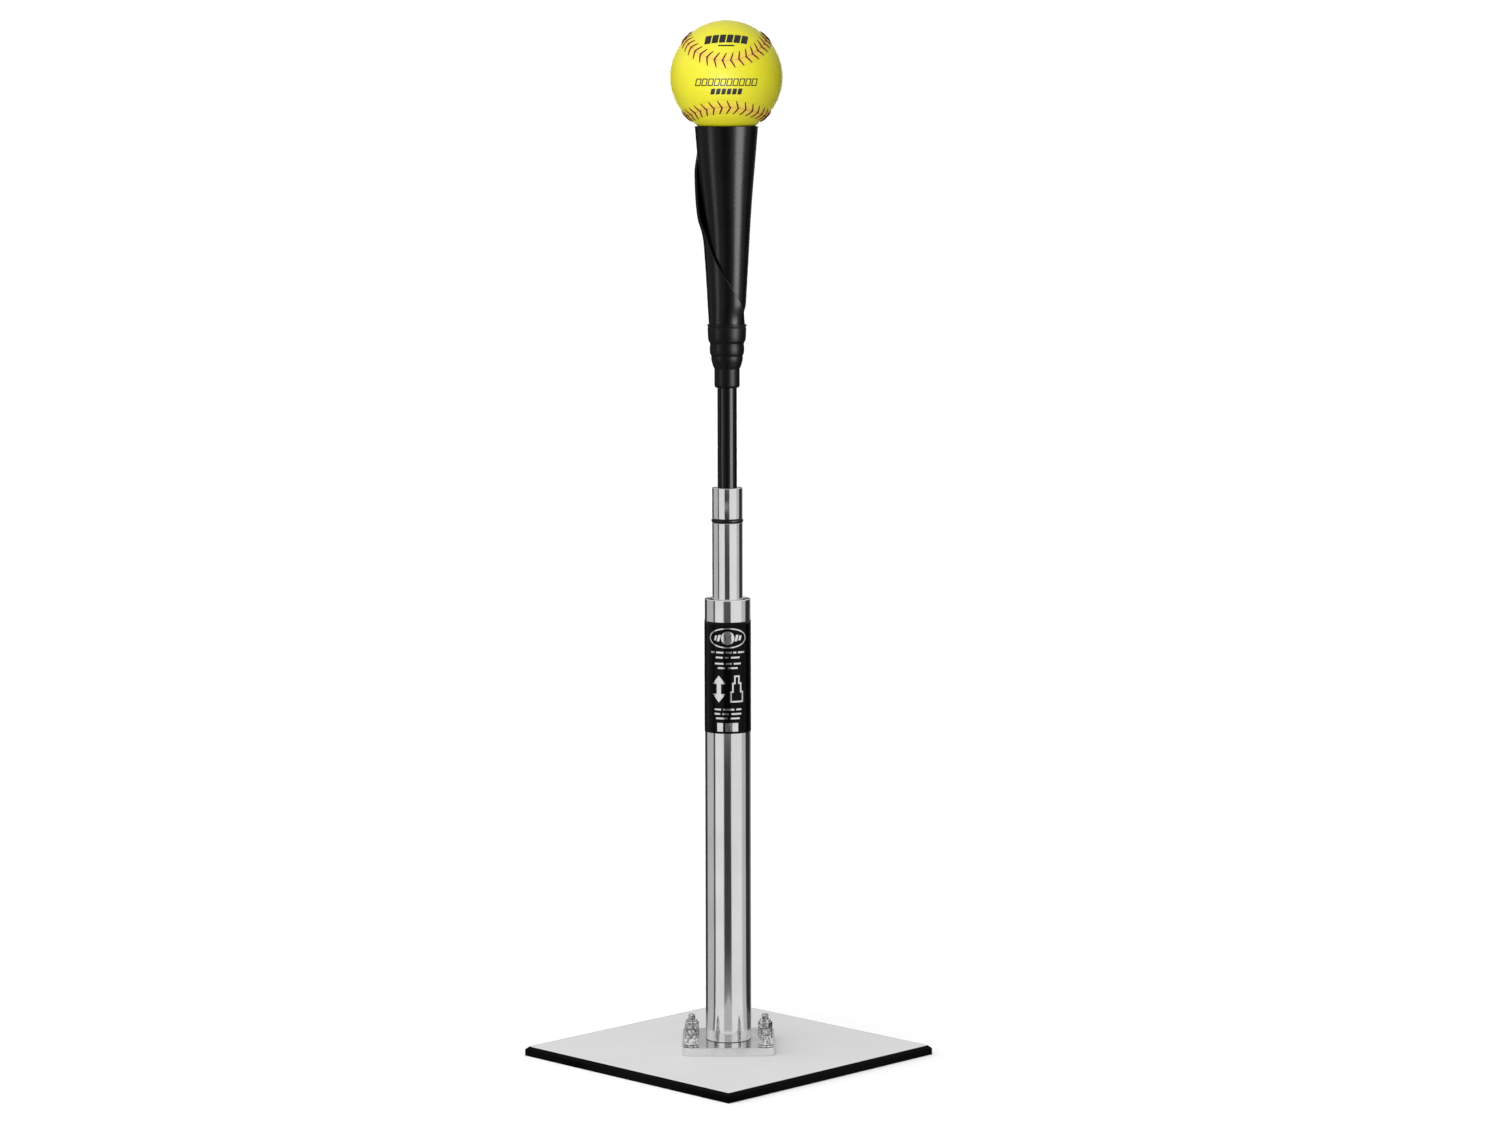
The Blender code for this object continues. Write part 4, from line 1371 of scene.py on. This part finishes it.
def lozenges(side, height, count, pitch, tall, wide):
    """A row of slanted lozenges at an even pitch, centred on the ball's front."""
    lean = 0.22
    slanted = side - height * lean
    middle = pitch / 2 if count % 2 == 0 else 0.0
    cell = (slanted + middle).math("WRAP", pitch / 2, -pitch / 2)
    within = inked(slanted.absolute() - count * pitch / 2)
    return inked(box_distance(cell, height, wide / 2, tall / 2, 0.5 * MM)) * within


def thread_finish(settings):
    finish = Finish("stitch_thread", roughness=0.6, specular=0.15)
    twist = finish.grain(Scale=2600.0, Detail=2.0, Low=0.5, High=0.7)
    dark, light = shade(settings.thread, 0.7), shade(settings.thread, 1.3)
    colour = finish.mix(twist["Height"], dark, light)
    return finish.surface(colour, twist["Value"], twist["Height"], 0.4, 0.1 * MM)


class TEE_OT_inner(bpy.types.Operator):
    """Give the hidden guide pieces their finishes"""

    bl_idname = "tee.inner"
    bl_label = "Inner pieces"

    def execute(self, context):
        nylon = nylon_finish()
        rubber = rubber_finish("inner_rubber", context.scene.tee_rubber.black, (0.4, 0.55))
        for name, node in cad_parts.items():
            if node.hide_render:
                continue  # another piece stands for it
            node.data.materials.clear()
            node.data.materials.append(rubber if "ring" in name else nylon)
        return {"FINISHED"}


class TEE_OT_stage(bpy.types.Operator):
    """Set up the floor, the lights and the camera"""

    bl_idname = "tee.stage"
    bl_label = "Stage"

    def execute(self, context):
        stage = context.scene.tee_stage
        context.scene.view_settings.view_transform = "Standard"
        self.add_floor(stage)
        self.add_world(context, stage)
        self.add_lamps(stage)
        self.add_camera(context, stage)
        return {"FINISHED"}

    def add_floor(self, stage):
        """A white floor that glows for glossy rays with a painted reflection of the softboxes, which
        polished metal sees in it.
        """
        mesh = bmesh.new()
        bmesh.ops.create_grid(mesh, x_segments=1, y_segments=1, size=stage.floor_side / 2)
        finish = Finish("floor_white", roughness=0.7, specular=0.1)
        tree = finish.tree
        x, y, _ = finish.coordinates()
        away = (x * x + y * y) ** 0.5
        path = add_node(tree, "ShaderNodeLightPath")
        white = finish.mix((away / 6.0).smooth(), grey(0.95), grey(0.97))
        finish.set("Base Color", finish.mix(path.outputs["Is Diffuse Ray"], white, grey(0.62)))
        # In the floor's painted reflection, the gap in front is light at the stem's foot, dark from there
        # on, and lighter far out
        past_foot = ((away - 0.05) / 0.35).smooth()
        far_band = ((away - 2.5) / 0.9).smooth() - ((away - 5.4) / 1.0).smooth()
        front_gap = 0.34 - past_foot * 0.29 + far_band * 0.2
        ring = finish.group("tee_ring", make_ring, **{"Front Gap": front_gap})["Level"]
        # painted reflection: for glossy rays the floor glows like the softboxes, though it is no lamp
        painted_reflection_glow = add_node(tree, "ShaderNodeEmission", {"Strength": ring})
        both = add_node(tree, "ShaderNodeMixShader", {0: path.outputs["Is Glossy Ray"]})
        tree.links.new(finish.shader.outputs[0], both.inputs[1])
        tree.links.new(painted_reflection_glow.outputs[0], both.inputs[2])
        tree.links.new(both.outputs[0], tree.nodes["Material Output"].inputs["Surface"])
        floor = add_piece("floor", mesh, finish.material)

    def add_world(self, context, stage):
        """A white room. What polished metal mirrors is a ring of tall softboxes and dark gaps."""
        world = bpy.data.worlds.new("studio")
        context.scene.world = world
        world.use_nodes = True
        tree = world.node_tree
        tree.nodes.clear()
        direction = add_node(tree, "ShaderNodeTexCoord").outputs["Generated"]
        x, y, height = parts_of(tree, direction)
        side, ahead = level_axes(x, y)
        ring = add_node(tree, "ShaderNodeGroup", node_tree=shader_group("tee_ring", make_ring))
        plug(tree, direction, ring.inputs["Vector"])
        # The gap in front lightens upwards, and the overhead softbox hangs lower at the back
        plug(tree, (height / 0.2).smooth() * 0.4 + 0.06, ring.inputs["Front Gap"])
        overhead = ((height - 0.10 - ahead.at_least(0.0) * 0.3) / 0.25).smooth()
        mirrored = Field(tree, ring.outputs["Level"]) * (1.0 - overhead) + overhead * stage.softbox
        inputs = {0: direction, 1: (FRONT * 0.72 - RIGHT * 0.42 + UP * 0.55).normalized()}
        towards_key = add_node(tree, "ShaderNodeVectorMath", inputs, operation="DOT_PRODUCT")
        shaded_side = ((side + 0.1) / 0.7).smooth()
        soft = Field(tree, towards_key.outputs["Value"]).at_least(0.0) * stage.key
        soft = soft + (1.0 - shaded_side) * stage.fill
        path = add_node(tree, "ShaderNodeLightPath")
        seen = Field(tree, path.outputs["Is Camera Ray"])
        lit = Field(tree, path.outputs["Is Diffuse Ray"])
        strength = mirrored * (1.0 - lit) * (1.0 - seen) + soft * lit + seen * 1.05
        background = add_node(tree, "ShaderNodeBackground", {"Color": (1, 1, 1, 1), "Strength": strength})
        out = add_node(tree, "ShaderNodeOutputWorld")
        tree.links.new(background.outputs[0], out.inputs[0])

    def add_lamps(self, stage):
        """Strip lights that only the black pieces catch, and softboxes that only the ball catches."""
        black = ("cone", "sleeve", "stem_shaft", "stem_stop_ring")
        ball = ("ball", "ball_stitches")
        distance, lowest_target = 2.0, 0.6
        # Name, degrees right of the front, height, size, power and the pieces that it lights
        lamps = (
            ("strip_right", 51, 0.6, (1.1, 1.5), stage.strip, black),
            ("strip_left", -62, 0.6, (0.6, 1.5), stage.strip * 0.13, black),
            ("strip_back", 178, 0.6, (0.8, 1.5), stage.strip * 0.15, black),
            ("ball_front", -8, 0.45, (1.3, 1.0), stage.ball_softbox, ball),
            ("ball_back", 180, 0.8, (1.3, 1.0), stage.ball_softbox * 0.7, ball),
        )
        for name, azimuth, height, size, power, pieces in lamps:
            lit = bpy.data.collections.new(f"lit_by_{name}")
            for piece in pieces:
                lit.objects.link(bpy.data.objects[piece])
            lamp = bpy.data.lights.new(name, "AREA")
            lamp.shape = "RECTANGLE"
            lamp.size, lamp.size_y = size
            lamp.energy = power
            holder = bpy.data.objects.new(name, lamp)
            angle = math.radians(azimuth)
            outwards = FRONT * math.cos(angle) + RIGHT * math.sin(angle)
            holder.location = outwards * distance + UP * height
            holder.rotation_mode = "QUATERNION"
            target = UP * max(height, lowest_target)
            holder.rotation_quaternion = (target - holder.location).to_track_quat("-Z", "Y")
            holder.visible_camera = False
            holder.light_linking.receiver_collection = lit
            bpy.context.scene.collection.objects.link(holder)

    def add_camera(self, context, stage):
        data = bpy.data.cameras.new("camera")
        data.lens = stage.lens
        data.sensor_width = 36
        data.clip_end = 50
        camera = bpy.data.objects.new("camera", data)
        place = FRONT * stage.camera_distance + UP * stage.camera_height
        camera.location = place
        aim = RIGHT * stage.aim_side + UP * stage.aim_height - place
        camera.rotation_mode = "QUATERNION"
        lean = Quaternion((0, 0, 1), -stage.camera_roll)
        camera.rotation_quaternion = aim.to_track_quat("-Z", "Y") @ lean
        context.scene.collection.objects.link(camera)
        context.scene.camera = camera


OPERATORS = (
    TEE_OT_base,
    TEE_OT_flange,
    TEE_OT_stem,
    TEE_OT_label,
    TEE_OT_top,
    TEE_OT_cone,
    TEE_OT_ball,
    TEE_OT_inner,
    TEE_OT_stage,
)


class TEE_PT_panel(bpy.types.Panel):
    """The tee's settings and the buttons that make its pieces"""

    bl_label = "Batting Tee"
    bl_idname = "TEE_PT_panel"
    bl_space_type = "VIEW_3D"
    bl_region_type = "UI"
    bl_category = "Tee"

    def draw(self, context):
        for name, group in SETTINGS.items():
            box = self.layout.box()
            settings = getattr(context.scene, name)
            for prop in group.__annotations__:
                box.prop(settings, prop)
        for operator in OPERATORS:
            self.layout.operator(operator.bl_idname)


def register():
    for name, group in SETTINGS.items():
        bpy.utils.register_class(group)
        setattr(bpy.types.Scene, name, PointerProperty(type=group))
    for operator in OPERATORS:
        bpy.utils.register_class(operator)
    bpy.utils.register_class(TEE_PT_panel)


def unregister():
    bpy.utils.unregister_class(TEE_PT_panel)
    for operator in reversed(OPERATORS):
        bpy.utils.unregister_class(operator)
    for name, group in SETTINGS.items():
        delattr(bpy.types.Scene, name)
        bpy.utils.unregister_class(group)


def main():
    register()
    for operator in OPERATORS:
        group, name = operator.bl_idname.split(".")
        getattr(getattr(bpy.ops, group), name)()


if __name__ == "__main__":
    main()
